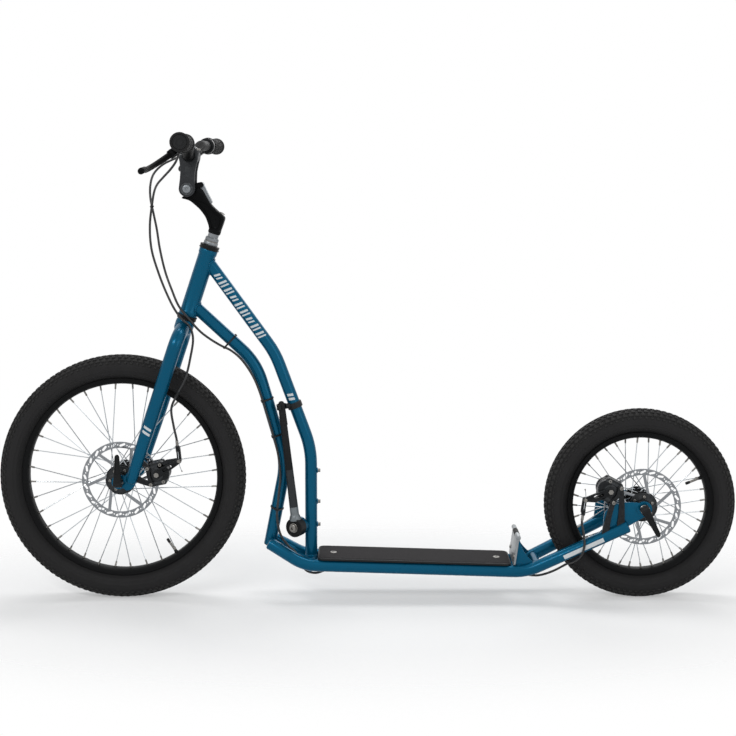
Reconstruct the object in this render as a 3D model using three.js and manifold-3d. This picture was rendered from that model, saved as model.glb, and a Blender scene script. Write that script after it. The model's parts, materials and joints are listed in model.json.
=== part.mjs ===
import * as THREE from "three";
import { mergeVertices } from "three/addons/utils/BufferGeometryUtils.js";
import Module from "manifold-3d";

const wasm = await Module();
wasm.setup();

// A kick bike in millimetres: +X points to the rear, +Y to the rider's right, +Z up.
// The origin lies on the ground, halfway along the bike and on its middle plane.

// Fits and cutters
const seat = 0.35;
const overrun = 3;
const throughCut = 30;
const runningGap = 0.6;

// Layout of the whole bike
const headTilt = THREE.MathUtils.degToRad(18.4);
const rake = 24;
const axleHalfWidth = 50;
const dropoutThickness = 6;

// Wheels: tyre, rim, spokes, hub and brake disc
const frontTyre = { radius: 257, width: 54, wall: 4 };
const rearTyre = { radius: 200, width: 50, wall: 4 };
const tyreDepth = 47.5;
const tyreShares = {
  beadRise: 0.05, swell: { up: 0.32, out: 0.97 }, wall: { up: 0.72, out: 0.92 }, tread: 0.34,
  innerTread: 0.3, innerUp: 0.42, innerOut: 0.9,
};
const rim = { depth: 13, width: 30, wellDepth: 5, flange: 3, bevel: 3 };
const spoke = { count: 36, radius: 1, rimOffset: 3, crossAngle: THREE.MathUtils.degToRad(62), sides: 3 };
const spokeRing = { width: 5, thickness: 2, lay: 1.4 };
const hub = {
  length: 84, barrelRadius: 15, flangeRadius: 28, flangeInset: 28, flangeThickness: 3, holeInset: 4,
  endRadius: 15,
};
const axle = { radius: 6, stubRadius: 4.6, nutRadius: 9, nutThickness: 6, tipPast: 1 };
const disc = {
  radius: 80, thickness: 1.8, offset: 35, ring: 14, carrierRadius: 26, arm: 7, arms: 6,
  sweep: THREE.MathUtils.degToRad(36),
};
const discHole = { radius: 3.4, count: 12, sides: 4 };
const discBolt = { radius: 4, height: 3, circleInset: 4.6, count: 6 };
const frontValveTurn = THREE.MathUtils.degToRad(146.25) - headTilt;
const rearValveTurn = THREE.MathUtils.degToRad(67.5);
const valve = { radius: 3, length: 34, capLength: 9, capRadius: 2.4 };

// Head and fork; the steering axis is measured upwards from beside the front axle
const headTube = { radius: 18, wall: 2.6, aboveTyre: 109, length: 144 };
const cup = { radius: 21, height: 9, insert: 8 };
const steerer = { radius: 12.7, wall: 1.25 };
const lockNut = { radius: 15, height: 16 };
const crown = { radius: 20, height: 30 };
const forkLeg = { radius: 14.3, offset: 60, shoulderDrop: 34, bend: 34, bottom: 6 };
const forkDropout = { boss: 15, rootHalf: 12, rootRise: 34 };

// Stem and handlebar
const quill = { radius: 11.1, depth: 90 };
const neck = {
  width: 28, reach: 95, baseRise: 14, rise: 86, pivotReach: 79, pivotRise: 66, boss: 16.5, postInto: 12,
};
const neckOutlineShares = [
  [0.12, 0], [0.13, 0.4], [0.03, 0.44], [-0.15, 0.53], [-0.27, 0.6], [-0.52, 0.86], [-0.62, 0.88],
  [-0.92, 0.5], [-0.71, 0.52], [-0.45, 0.4], [-0.27, 0.26], [-0.15, 0.08], [-0.12, 0],
];
const stemArm = {
  cheek: 7, length: 69, tilt: THREE.MathUtils.degToRad(14.7), blockFrom: 26, blockFoot: 10, split: 0.8,
};
const stemBolt = { radius: 5, headRadius: 8, headHeight: 5 };
const barClamp = { radius: 20, earBolt: 3.5, earReach: 16.5, boltInset: 5.6, boltRise: 14 };
const lockLever = {
  width: 12, endRadius: 5.5, tipRadius: 4, length: 40, pin: 2.5, ear: 3.5, earRoot: 7.5, pivotAhead: 23.5,
  lean: THREE.MathUtils.degToRad(46), earFootShare: 0.3,
};
const bar = {
  radius: 11.1, bulgeRadius: 12.7, bulgeHalf: 24, halfWidth: 300, innerHalf: 34, outerHalf: 92,
  riseAtBend: 23, rise: 27, sweepAtBend: 4, sweep: 13, bend: 45,
};
const grip = { radius: 16.5, length: 118, endRadius: 18.5, endThickness: 5 };
const leverClamp = { width: 18, radius: 17, gripGap: 3, reach: 32, blockHalf: 6, cheek: 3.4 };
const leverDrop = THREE.MathUtils.degToRad(36);
const brakeLever = { thickness: 10, boss: 8, pin: 3 };
const leverPath = { reach: 58, length: 116, halfWidth: 6, rootHalfWidth: 7.5 };
const leverPathShares = [[0.1, 0.02], [0.42, 0.14], [0.78, 0.34], [0.94, 0.6], [0.92, 0.84], [1, 1]];
const adjuster = { radius: 4.5, length: 22, outShare: 0.72 };

// Frame tubes; a place "behind" is measured from the front tyre's rearmost edge
const tube = { radius: 12.7, sides: 12 };
const topTube = {
  joinDrop: 20, elbowBehind: 62.5, elbowZ: 517.3, kneeBehind: 136.5, kneeZ: 316.5, bend: 190,
};
const lowerTube = {
  joinRise: 26, elbowBehind: 23, elbowZ: 497, kneeBehind: 84, kneeZ: 286, endBehind: 49.5, endZ: 112,
  bend: 150,
};
const rail = {
  frontBehind: 52, frontZ: 119, kneeBehind: 123, kneeZ: 77.5, offset: 38, bend: 90, pastStop: 28.3,
  rearZ: 64,
};
const stay = { bend: 110, spread: 2, offset: 58, reach: 204, endAhead: 36, endDrop: 36 };
const crossTube = { radius: 10, behindKnee: 22 };
const dropoutPlate = {
  thickness: 6, boss: 16, length: 88, drop: 12, top: 8,
  bossShares: { ahead: 1.4, above: 0.96, behind: 0.9, below: 0.5 },
};

// Footboard and the upright plate behind it
const deck = { length: 404, width: 98, thickness: 5, riserGap: 1.5, corner: 14 };
const stopPlate = {
  height: 62, thickness: 4, leanAngle: THREE.MathUtils.degToRad(8), width: 92, roll: 5, gap: 3,
};
const gusset = {
  thickness: 4, length: 50, height: 52, gapBehind: 0.5, curveShares: { along: 0.35, up: 0.3 },
};
const accessoryBolt = { radius: 4, height: 7, heights: [269, 203, 154] };

// Where things lie along the bike: the front wheel, the riser, the deck, the stop plate and the rear wheel
const riserToStop = tube.radius + deck.riserGap + deck.length + stopPlate.gap;
const wheelbase = frontTyre.radius + topTube.kneeBehind + riserToStop + rail.pastStop + stay.reach
  + stay.endAhead;
const tyreBack = (frontTyre.radius * 3 - rearTyre.radius - wheelbase) / 2;
const riserX = tyreBack + topTube.kneeBehind;
const railKneeX = tyreBack + rail.kneeBehind;
const railRearX = riserX + riserToStop + rail.pastStop;
const headBottom = frontTyre.radius + headTube.aboveTyre;

// Side stand
const stand = { pivotAhead: 30.5, pivotZ: 153.5, side: 22, boss: 20, bossThickness: 20, length: 268 };
const standRod = { rootRadius: 9.5, tipRadius: 6.5, lean: THREE.MathUtils.degToRad(6.5) };
const standBracket = { radius: 19, thickness: 7, lugHalf: 9, bolt: 5, boltHead: 8 };
const standTurn = THREE.MathUtils.degToRad(60);
const standClip = { rise: 256, thickness: 3, height: 12, hold: 1.2, mouth: 32 };

// Brakes
const caliper = {
  inner: 62, outer: 97, half: 24, nose: 21, outboard: 56, inboard: 22, roof: 84, channel: 1.6,
};
const pad = { thickness: 4, half: 13, inner: 64, outer: 79, gap: 0.7 };
const caliperArm = {
  boss: 9, thickness: 6, length: 55, tip: 5, pivot: 80, standOff: 1, post: 4, clampBolt: 3,
};
const cableStop = { radius: 4.5, half: 6, distance: 26, ahead: THREE.MathUtils.degToRad(64), lug: 4.5 };
const frontArmAngle = THREE.MathUtils.degToRad(20);
const rearArmAngle = THREE.MathUtils.degToRad(46);
const frontCaliperAngle = THREE.MathUtils.degToRad(30);
const rearCaliperAngle = THREE.MathUtils.degToRad(152);
const bracket = { thickness: 6, boltX: 65, boltHalf: 17, eye: 5, root: 9, bolt: 4, boltHeight: 4 };
const frontBracketRoots = { rake: 24, low: 22, high: 56 };
const rearBracketRoots = { lowShare: 0.78, highShare: 0.93 };

// Cables. Each route lists the places between the lever's barrel and the brake's stop, in groups that
// are measured from what they pass: the bar's middle, the head tube's foot, a hub, the riser, the rail's
// rear end or the left stay.
const cable = { radius: 2.4, wireRadius: 0.9, lead: 14, sides: 8, stepLength: 24 };
const frontCableRoute = {
  byBars: [
    [-7.6, -108, 2.6], [-14.6, -95, -12.4], [-27.6, -82, -28.4], [-44.6, -66, -44.4],
    [-60.6, -46, -59.4], [-70.6, -24, -75.4], [-77.6, -7, -99.4], [-83.6, -3, -143.4],
  ],
  byHead: [
    [-72.3, -6, 138.3], [-57.3, -12, 88.3], [-39.3, -22, 46.3], [-21.3, -31, 13.3], [-6.3, -34, -5.7],
    [8.7, -36, -19.7], [15.7, -39, -42.7],
  ],
  byHub: [
    [149, -45, 257], [139, -53, 215], [123, -59, 183], [111, -60, 155], [115, -60, 118],
  ],
};
const rearCableRoute = {
  byBars: [
    [-9.6, 108, 5.6], [-23.6, 93, 0.6], [-45.6, 78, -8.4], [-66.6, 62, -20.4], [-81.6, 44, -38.4],
    [-85.6, 24, -60.4], [-83.6, 8, -87.4], [-76.6, 4, -121.4], [-70.6, 4, -152.4], [-64.6, 2, -192.4],
  ],
  byHead: [
    [-44.3, -6, 90.3], [-29.3, -18, 53.3], [-14.3, -27, 21.3], [6.7, -31, -4.7], [28.7, -27, -30.7],
  ],
  byRiser: [
    [-204.5, -22, 548], [-182.5, -18, 534], [-164.5, -17, 525], [-142.5, -17, 506], [-118.5, -17, 470],
    [-102.5, -17, 430], [-84.5, -17, 370], [-68.5, -17, 310], [-63.5, -18, 260], [-67.5, -19, 215],
    [-70.5, -21, 172], [-62.5, -23, 136], [-47.5, -20, 113], [-31.5, -19, 97], [-22.5, -18, 77],
    [-9.5, -18, 59], [9.5, -18, 54], [39.5, -18, 63], [89.5, -18, 69], [179.5, -18, 66],
    [279.5, -18, 63],
  ],
  byRailEnd: [
    [-70, -18, 60], [-5, -20, 52],
  ],
  byStay: [
    [26, 17.3, -25.7], [56, 13.9, -29.5], [83, 6.3, -24.7], [101, -4.1, -21.5],
    [112, -14.3, -9.9], [116, -14.8, 8.1],
  ],
  byRearHub: [
    [-126, -63, -49],
  ],
};

// Quick releases
const quickRelease = {
  cam: 9, blade: 56, bladeRoot: 8, bladeTip: 5, bladeThickness: 5, pin: 2.4, slack: 0.8,
};
const frontReleaseTurn = -headTilt;
const rearReleaseTurn = THREE.MathUtils.degToRad(152);

// How finely round pieces are divided
const roundSides = { wheel: 32, hub: 16, grip: 12, small: 10, bolt: 8, screw: 6 };

// Finishes
function finish(color, roughness, metalness) {
  return new THREE.MeshStandardMaterial({ color, roughness, metalness });
}
const blueEnamel = finish(0x06476a, 0.3, 0.2);
const satinBlack = finish(0x1d1e20, 0.5, 0.3);
const blackAlloy = finish(0x26272a, 0.4, 0.7);
const greyAlloy = finish(0x8e9296, 0.35, 0.8);
const brightSteel = finish(0xb8bcc0, 0.25, 1);
const rubber = finish(0x232323, 0.85, 0);
const gripTape = finish(0x343334, 0.95, 0);
const padCompound = finish(0x4a4038, 0.9, 0);

// Solids and booleans

function merged(geometry) {
  const bare = new THREE.BufferGeometry();
  bare.setAttribute("position", geometry.getAttribute("position").clone());
  if (geometry.index) bare.setIndex(geometry.index.clone());
  return mergeVertices(bare);
}

function signedVolume(geometry) {
  const place = geometry.getAttribute("position");
  const corner = [new THREE.Vector3(), new THREE.Vector3(), new THREE.Vector3()];
  let sum = 0;
  for (let i = 0; i < geometry.index.count; i += 3) {
    corner.forEach((c, k) => c.fromBufferAttribute(place, geometry.index.getX(i + k)));
    sum += corner[0].dot(corner[1].clone().cross(corner[2]));
  }
  return sum;
}

// A closed mesh with its faces pointing out, as a solid.
function solid(geometry) {
  const shape = merged(geometry);
  const triVerts = new Uint32Array(shape.index.array);
  if (signedVolume(shape) < 0) {
    for (let i = 0; i < triVerts.length; i += 3) {
      [triVerts[i], triVerts[i + 1]] = [triVerts[i + 1], triVerts[i]];
    }
  }
  const vertProperties = new Float32Array(shape.getAttribute("position").array);
  return new wasm.Manifold(new wasm.Mesh({ numProp: 3, vertProperties, triVerts }));
}

function geometryOf(manifold) {
  const mesh = manifold.getMesh();
  const geometry = new THREE.BufferGeometry();
  geometry.setAttribute("position", new THREE.BufferAttribute(mesh.vertProperties, mesh.numProp));
  geometry.setIndex(new THREE.BufferAttribute(mesh.triVerts, 1));
  geometry.computeVertexNormals();
  return geometry;
}

function joined(parts) {
  return parts.reduce((whole, part) => whole.add(part));
}

function cut(whole, tools) {
  return tools.reduce((rest, tool) => rest.subtract(tool), whole);
}

function addPart(group, name, shape, material) {
  const mesh = new THREE.Mesh(geometryOf(shape), material);
  mesh.name = name;
  group.add(mesh);
  return mesh;
}

// Basic shapes, each returned as a solid

function box(x0, x1, y0, y1, z0, z1) {
  const geometry = new THREE.BoxGeometry(Math.abs(x1 - x0), Math.abs(y1 - y0), Math.abs(z1 - z0));
  geometry.translate((x0 + x1) / 2, (y0 + y1) / 2, (z0 + z1) / 2);
  return solid(geometry);
}

// A cylinder between two points, its end radii given one by one.
function rod(from, to, radius, sides = roundSides.small, endRadius = radius) {
  const axis = new THREE.Vector3().subVectors(to, from);
  const geometry = new THREE.CylinderGeometry(endRadius, radius, axis.length(), sides);
  const turn = new THREE.Quaternion().setFromUnitVectors(
    new THREE.Vector3(0, 1, 0), axis.clone().normalize());
  geometry.applyQuaternion(turn);
  geometry.translate((from.x + to.x) / 2, (from.y + to.y) / 2, (from.z + to.z) / 2);
  return solid(geometry);
}

function vec(x, y, z) {
  return new THREE.Vector3(x, y, z);
}

function rodY(x, z, y0, y1, radius, sides = roundSides.small) {
  return rod(vec(x, Math.min(y0, y1), z), vec(x, Math.max(y0, y1), z), radius, sides);
}

function rodZ(x, y, z0, z1, radius, sides = roundSides.small) {
  return rod(vec(x, y, Math.min(z0, z1)), vec(x, y, Math.max(z0, z1)), radius, sides);
}

// A ring or stepped round body about the Y axis; the outline closes on itself.
function turnedY(outline, sides) {
  const points = outline.map(([radius, along]) => new THREE.Vector2(radius, along));
  points.push(points[0].clone());
  return solid(new THREE.LatheGeometry(points, sides));
}

// The same about the Z axis.
function turnedZ(outline, sides) {
  const points = outline.map(([radius, along]) => new THREE.Vector2(radius, along));
  points.push(points[0].clone());
  const geometry = new THREE.LatheGeometry(points, sides);
  geometry.rotateX(Math.PI / 2);
  return solid(geometry);
}

function ringY(outer, inner, y0, y1, sides) {
  return turnedY([[inner, y0], [outer, y0], [outer, y1], [inner, y1]], sides);
}

function ringZ(outer, inner, z0, z1, sides) {
  return turnedZ([[inner, z0], [outer, z0], [outer, z1], [inner, z1]], sides);
}

// A plate drawn in the X-Z plane, from y0 to y1.
function plateXZ(shape, y0, y1, curveSegments = 5) {
  const depth = Math.abs(y1 - y0);
  const geometry = new THREE.ExtrudeGeometry(shape, { depth, bevelEnabled: false, curveSegments });
  geometry.rotateX(Math.PI / 2);
  geometry.translate(0, Math.max(y0, y1), 0);
  return solid(geometry);
}

function outlineXZ(points) {
  return new THREE.Shape(points.map(([x, z]) => new THREE.Vector2(x, z)));
}

// A straight-sided bar with round ends between two places in the X-Z plane.
function slotShape(ax, az, bx, bz, ra, rb = ra) {
  const along = Math.atan2(bz - az, bx - ax);
  const shape = new THREE.Shape();
  shape.absarc(ax, az, ra, along + Math.PI / 2, along + (3 * Math.PI) / 2, false);
  shape.absarc(bx, bz, rb, along - Math.PI / 2, along + Math.PI / 2, false);
  shape.closePath();
  return shape;
}

// A route through given corners, each rounded to a bend radius.
class BentRoute extends THREE.Curve {
  constructor(corners, bends, stepAngle = THREE.MathUtils.degToRad(13)) {
    super();
    this.places = [corners[0].clone()];
    for (let i = 1; i < corners.length - 1; i += 1) {
      this.addBend(corners[i - 1], corners[i], corners[i + 1], bends[i - 1], stepAngle);
    }
    this.places.push(corners[corners.length - 1].clone());
  }

  addBend(before, corner, after, radius, stepAngle) {
    const inward = vec().subVectors(before, corner).normalize();
    const outward = vec().subVectors(after, corner).normalize();
    const turn = Math.PI - inward.angleTo(outward);
    const back = radius * Math.tan(turn / 2);
    const start = corner.clone().addScaledVector(inward, back);
    const towards = inward.clone().add(outward).normalize();
    const centre = corner.clone().addScaledVector(towards, radius / Math.cos(turn / 2));
    const spoke0 = vec().subVectors(start, centre);
    const axis = vec().crossVectors(outward, inward).normalize();
    const steps = Math.max(2, Math.ceil(turn / stepAngle));
    for (let k = 0; k <= steps; k += 1) {
      const arm = spoke0.clone().applyAxisAngle(axis, (turn * k) / steps);
      this.places.push(arm.add(centre));
    }
  }

  get steps() {
    return this.places.length - 1;
  }

  getPoint(t, target = vec()) {
    const at = Math.min(t * this.steps, this.steps);
    const k = Math.min(Math.floor(at), this.steps - 1);
    return target.lerpVectors(this.places[k], this.places[k + 1], at - k);
  }

  getPointAt(t, target) {
    return this.getPoint(t, target);
  }

  getTangentAt(t, target = vec()) {
    const k = Math.round(t * this.steps);
    const before = this.places[Math.max(k - 1, 0)];
    const here = this.places[k];
    const after = this.places[Math.min(k + 1, this.steps)];
    const inward = vec().subVectors(here, before).normalize();
    const outward = vec().subVectors(after, here).normalize();
    return target.copy(inward.add(outward)).normalize();
  }
}

function roundSection(radius, sides) {
  const points = [];
  for (let k = 0; k < sides; k += 1) {
    const angle = (2 * Math.PI * (k + 0.5)) / sides;
    points.push(new THREE.Vector2(radius * Math.cos(angle), radius * Math.sin(angle)));
  }
  return new THREE.Shape(points);
}

function swept(route, radius, sides) {
  const settings = { steps: route.steps, extrudePath: route, bevelEnabled: false };
  return solid(new THREE.ExtrudeGeometry(roundSection(radius, sides), settings));
}

function bentTube(corners, bends, radius = tube.radius, sides = tube.sides) {
  return swept(new BentRoute(corners, bends), radius, sides);
}

// A cable laid through places chosen by hand, smoothed between them.
function laidCable(places) {
  const curve = new THREE.CatmullRomCurve3(places, false, "centripetal");
  const steps = Math.ceil(curve.getLength() / cable.stepLength);
  const settings = { steps, extrudePath: curve, bevelEnabled: false };
  return solid(new THREE.ExtrudeGeometry(roundSection(cable.radius, cable.sides), settings));
}

// Moves a solid from one group's frame to another's.
function carried(shape, matrix) {
  return shape.transform(matrix.elements);
}

function mirrored(shape) {
  return shape.mirror([0, 1, 0]);
}

// Wheels

// The radius at which a round body's flats lie.
function flatRadius(radius, sides) {
  return radius * Math.cos(Math.PI / sides);
}

function makeTyre(size) {
  const rimTop = size.radius - tyreDepth;
  const seatRadius = rimTop - rim.wellDepth + seat;
  const beadOut = rim.width / 2 - rim.flange - seat;
  const half = size.width / 2;
  const tread = size.radius;
  const wall = size.wall;
  const { swell, wall: shoulder } = tyreShares;
  const side = [
    [seatRadius, beadOut - wall], [seatRadius, beadOut],
    [rimTop + tyreDepth * tyreShares.beadRise, beadOut],
    [rimTop + tyreDepth * swell.up, half * swell.out],
    [rimTop + tyreDepth * shoulder.up, half * shoulder.out],
    [tread, half * tyreShares.tread],
  ];
  const inner = [
    [tread - wall, half * tyreShares.innerTread],
    [rimTop + tyreDepth * tyreShares.innerUp, (half - wall) * tyreShares.innerOut],
  ];
  const outline = [
    ...side, ...side.slice().reverse().map(([r, y]) => [r, -y]),
    ...inner.slice().reverse().map(([r, y]) => [r, -y]), ...inner,
  ];
  return turnedY(outline, roundSides.wheel);
}

function makeRim(size) {
  const top = size.radius - tyreDepth;
  const bottom = top - rim.depth;
  const half = rim.width / 2;
  const floor = top - rim.wellDepth;
  const side = [
    [floor, half - rim.flange], [top, half - rim.flange], [top, half],
    [bottom + rim.bevel, half - rim.bevel / 2], [bottom, half - rim.bevel * 2],
  ];
  const outline = [...side, ...side.slice().reverse().map(([r, y]) => [r, -y])];
  const stem = rodZ(0, 0, floor - valve.length, floor, valve.radius, roundSides.bolt);
  const cap = rodZ(0, 0, floor - valve.length - valve.capLength, floor - valve.length,
    valve.capRadius, roundSides.bolt);
  return joined([turnedY(outline, roundSides.wheel), stem, cap]);
}

// The spokes of the right side: they lean forwards and back in turn from a ring of spoke heads.
function makeSpokes(size) {
  const rimEnd = flatRadius(size.radius - tyreDepth - rim.depth, roundSides.wheel) - seat;
  const headRadius = hub.flangeRadius - hub.holeInset;
  const face = hub.flangeInset - hub.flangeThickness / 2 - seat;
  const middle = face - spokeRing.lay - spoke.radius;
  const pieces = [ringY(headRadius + spokeRing.width / 2, headRadius - spokeRing.width / 2,
    middle - spokeRing.thickness / 2, middle + spokeRing.thickness / 2, roundSides.hub)];
  const perSide = spoke.count / 2;
  for (let k = 0; k < perSide; k += 1) {
    const lean = k % 2 === 0 ? 1 : -1;
    const angle = (2 * Math.PI * (k + 0.5)) / perSide;
    const from = angle + lean * spoke.crossAngle;
    const lay = lean * spokeRing.lay;
    const start = vec(headRadius * Math.cos(from), middle + lay, headRadius * Math.sin(from));
    const end = vec(rimEnd * Math.cos(angle), spoke.rimOffset + lay, rimEnd * Math.sin(angle));
    pieces.push(rod(start, end, spoke.radius, spoke.sides));
  }
  return joined(pieces);
}

// The hub shell with its bearings, open along the middle for the axle.
function makeHub() {
  const half = hub.length / 2;
  const flangeIn = hub.flangeInset - hub.flangeThickness / 2;
  const flangeOut = hub.flangeInset + hub.flangeThickness / 2;
  const bore = axle.radius + runningGap;
  const discFace = disc.offset - disc.thickness / 2 - seat;
  const outline = [
    [bore, half], [hub.endRadius, half], [hub.barrelRadius, flangeOut], [hub.flangeRadius, flangeOut],
    [hub.flangeRadius, flangeIn], [hub.barrelRadius, flangeIn],
    [hub.barrelRadius, -flangeIn], [hub.flangeRadius, -flangeIn], [hub.flangeRadius, -flangeOut],
    [disc.carrierRadius, -flangeOut], [disc.carrierRadius, -discFace],
    [hub.endRadius, -discFace], [hub.endRadius, -half], [bore, -half],
  ];
  return turnedY(outline, roundSides.hub);
}

// A brake disc: a drilled braking ring, leaning arms, a carrier and its bolts.
function makeDisc() {
  const ringInner = disc.radius - disc.ring;
  const y0 = -disc.offset - disc.thickness / 2;
  const y1 = -disc.offset + disc.thickness / 2;
  const ring = ringY(disc.radius, ringInner, y0, y1, roundSides.wheel);
  const carrier = ringY(disc.carrierRadius, hub.endRadius + seat * 2, y0, y1, roundSides.hub);
  const pieces = [ring, carrier];
  for (let k = 0; k < disc.arms; k += 1) {
    const a = (2 * Math.PI * k) / disc.arms;
    const b = a + disc.sweep;
    const inner = disc.carrierRadius - disc.arm / 2;
    const outer = ringInner + disc.arm / 2;
    const shape = slotShape(inner * Math.cos(a), inner * Math.sin(a), outer * Math.cos(b),
      outer * Math.sin(b), disc.arm / 2);
    pieces.push(plateXZ(shape, y0, y1, 3));
  }
  const boltCircle = disc.carrierRadius - discBolt.circleInset;
  for (let k = 0; k < discBolt.count; k += 1) {
    const a = (2 * Math.PI * (k + 0.5)) / discBolt.count;
    pieces.push(rodY(boltCircle * Math.cos(a), boltCircle * Math.sin(a), y0 - discBolt.height, y1,
      discBolt.radius, 6));
  }
  const holes = [];
  const holeCircle = ringInner + disc.ring / 2;
  for (let k = 0; k < discHole.count; k += 1) {
    const a = (2 * Math.PI * (k + 0.5)) / discHole.count;
    holes.push(rodY(holeCircle * Math.cos(a), holeCircle * Math.sin(a), y0 - overrun, y1 + overrun,
      discHole.radius, discHole.sides));
  }
  return cut(joined(pieces), holes);
}

function addWheel(group, name, size, valveAngle) {
  const turned = new THREE.Group();
  turned.rotation.y = valveAngle;
  group.add(turned);
  addPart(turned, `${name}_tyre`, makeTyre(size), rubber);
  addPart(turned, `${name}_rim`, makeRim(size), satinBlack);
  addPart(turned, `${name}_right_spokes`, makeSpokes(size), brightSteel);
  const opposite = makeSpokes(size).rotate([0, 360 / spoke.count, 0]);
  addPart(turned, `${name}_left_spokes`, mirrored(opposite), brightSteel);
  addPart(turned, `${name}_hub`, makeHub(), satinBlack);
  addPart(turned, `${name}_brake_disc`, makeDisc(), brightSteel);
}

const camPlace = -axleHalfWidth - dropoutThickness - seat - quickRelease.cam;

// An axle with its lock nuts, a nut on the right and an eye for the quick release on the left.
function makeAxle() {
  const end = axleHalfWidth - seat;
  const face = axleHalfWidth + dropoutThickness + seat;
  const nutIn = end - axle.nutThickness;
  const eye = rod(vec(-axle.stubRadius * 2, camPlace, 0), vec(axle.stubRadius * 2, camPlace, 0),
    quickRelease.pin + quickRelease.slack, roundSides.bolt);
  return joined([
    rodY(0, 0, camPlace - axle.stubRadius, face + axle.nutThickness, axle.stubRadius),
    rodY(0, 0, -end, end, axle.radius),
    rodY(0, 0, nutIn, end, axle.nutRadius, roundSides.screw),
    rodY(0, 0, -end, -nutIn, axle.nutRadius, roundSides.screw),
    rodY(0, 0, face, face + axle.nutThickness, axle.nutRadius, roundSides.screw),
  ]).subtract(eye);
}

// Where the head and the wheels lie
const frontHub = vec(-(wheelbase + frontTyre.radius + rearTyre.radius) / 2 + frontTyre.radius, 0,
  frontTyre.radius);
const rearHub = vec(frontHub.x + wheelbase, 0, rearTyre.radius);
const headAxis = vec(Math.sin(headTilt), 0, Math.cos(headTilt));
const headSide = vec(Math.cos(headTilt), 0, -Math.sin(headTilt));
const steeringFoot = frontHub.clone().addScaledVector(headSide, rake);

const bike = new THREE.Group();
const rearWheel = new THREE.Group();
rearWheel.position.copy(rearHub);
bike.add(rearWheel);
const steering = new THREE.Group();
steering.position.copy(steeringFoot);
steering.rotation.y = headTilt;
bike.add(steering);
const frontWheel = new THREE.Group();
frontWheel.position.set(-rake, 0, 0);
steering.add(frontWheel);
bike.updateMatrixWorld(true);

function steeringToBike(shape) {
  return carried(shape, steering.matrixWorld);
}

// A place on the steering axis, in the bike's frame.
function onHead(along, across = 0) {
  return steeringFoot.clone().addScaledVector(headAxis, along).addScaledVector(headSide, across);
}

// Head tube, headset and fork

function makeHeadTube() {
  const top = headBottom + headTube.length;
  return ringZ(headTube.radius, headTube.radius - headTube.wall, headBottom, top, roundSides.hub);
}

// A headset cup: its skirt sits in the head tube and its lip on the tube's end.
function makeCup(end, outwards) {
  const bore = steerer.radius + runningGap;
  const skirt = headTube.radius - headTube.wall - seat;
  const near = end + outwards * seat;
  const far = near + outwards * cup.height;
  const lip = ringZ(cup.radius, bore, Math.min(near, far), Math.max(near, far), roundSides.hub);
  const deep = end - outwards * cup.insert;
  return lip.add(ringZ(skirt, bore, Math.min(near, deep), Math.max(near, deep), roundSides.hub));
}

const headTop = headBottom + headTube.length;
const crownTop = headBottom - cup.height - seat * 2;
const lockNutBottom = headTop + cup.height + seat * 2;
const lockNutTop = lockNutBottom + lockNut.height;

function makeSteerer() {
  const shaft = ringZ(steerer.radius, steerer.radius - steerer.wall, crownTop - overrun, lockNutTop,
    roundSides.hub);
  return shaft.add(rodZ(0, 0, crownTop - crown.height, crownTop, crown.radius, roundSides.hub));
}

function makeLockNut() {
  return ringZ(lockNut.radius, steerer.radius + seat, lockNutBottom, lockNutTop, roundSides.hub);
}

// The left fork leg with its dropout, open for the axle stub.
function makeForkLeg() {
  const side = -forkLeg.offset;
  const corners = [
    vec(0, -crown.radius / 2, crownTop - crown.height / 2),
    vec(0, side, crownTop - forkLeg.shoulderDrop),
    vec(0, side, forkLeg.bottom),
  ];
  const leg = bentTube(corners, [forkLeg.bend], forkLeg.radius);
  const crownCut = rodZ(0, 0, crownTop - crown.height - throughCut, crownTop + throughCut,
    crown.radius + seat, roundSides.hub);
  const inner = -axleHalfWidth;
  const plate = plateXZ(slotShape(-rake, 0, 0, forkDropout.rootRise, forkDropout.boss,
    forkDropout.rootHalf), inner - dropoutThickness, inner);
  return cut(leg.subtract(crownCut).add(plate), [axleCut(-rake)]);
}

function axleCut(x) {
  return rodY(x, 0, -axleHalfWidth * 2, -axleHalfWidth / 2, axle.stubRadius + seat);
}

// Stem, handlebar and levers

const neckBase = lockNutTop + neck.baseRise;
const stemPivot = vec(-neck.pivotReach, 0, neckBase + neck.pivotRise);
const armAlong = vec(-Math.sin(stemArm.tilt), 0, Math.cos(stemArm.tilt));
const armAcross = vec(Math.cos(stemArm.tilt), 0, Math.sin(stemArm.tilt));
const barCentre = stemPivot.clone().addScaledVector(armAlong, stemArm.length);

// The forged neck: a quill that stands in the steerer, a leaning body and a round boss.
function makeNeck() {
  const outline = neckOutlineShares.map(([x, z]) => [x * neck.reach, neckBase + z * neck.rise]);
  const body = plateXZ(outlineXZ(outline), -neck.width / 2, neck.width / 2);
  const boss = rodY(stemPivot.x, stemPivot.z, -neck.width / 2, neck.width / 2, neck.boss, roundSides.hub);
  const post = rodZ(0, 0, lockNutTop - quill.depth, neckBase + neck.postInto, quill.radius, roundSides.hub);
  const ears = leverEars();
  const bolt = rodY(stemPivot.x, stemPivot.z, -neck.width, neck.width, stemBolt.radius + seat);
  return cut(joined([post, body, boss, ears]), [bolt, lockLeverRoom()]);
}

// The lock lever lies along the neck's back, hinged between two ears at its upper end.
const lockDirection = vec(Math.sin(lockLever.lean), 0, -Math.cos(lockLever.lean));
const lockPivot = stemPivot.clone().add(vec(lockLever.pivotAhead, 0, neck.boss));

function lockLeverShape(grow) {
  const tip = lockPivot.clone().addScaledVector(lockDirection, lockLever.length);
  return slotShape(lockPivot.x, lockPivot.z, tip.x, tip.z, lockLever.endRadius + grow,
    lockLever.tipRadius + grow);
}

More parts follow.
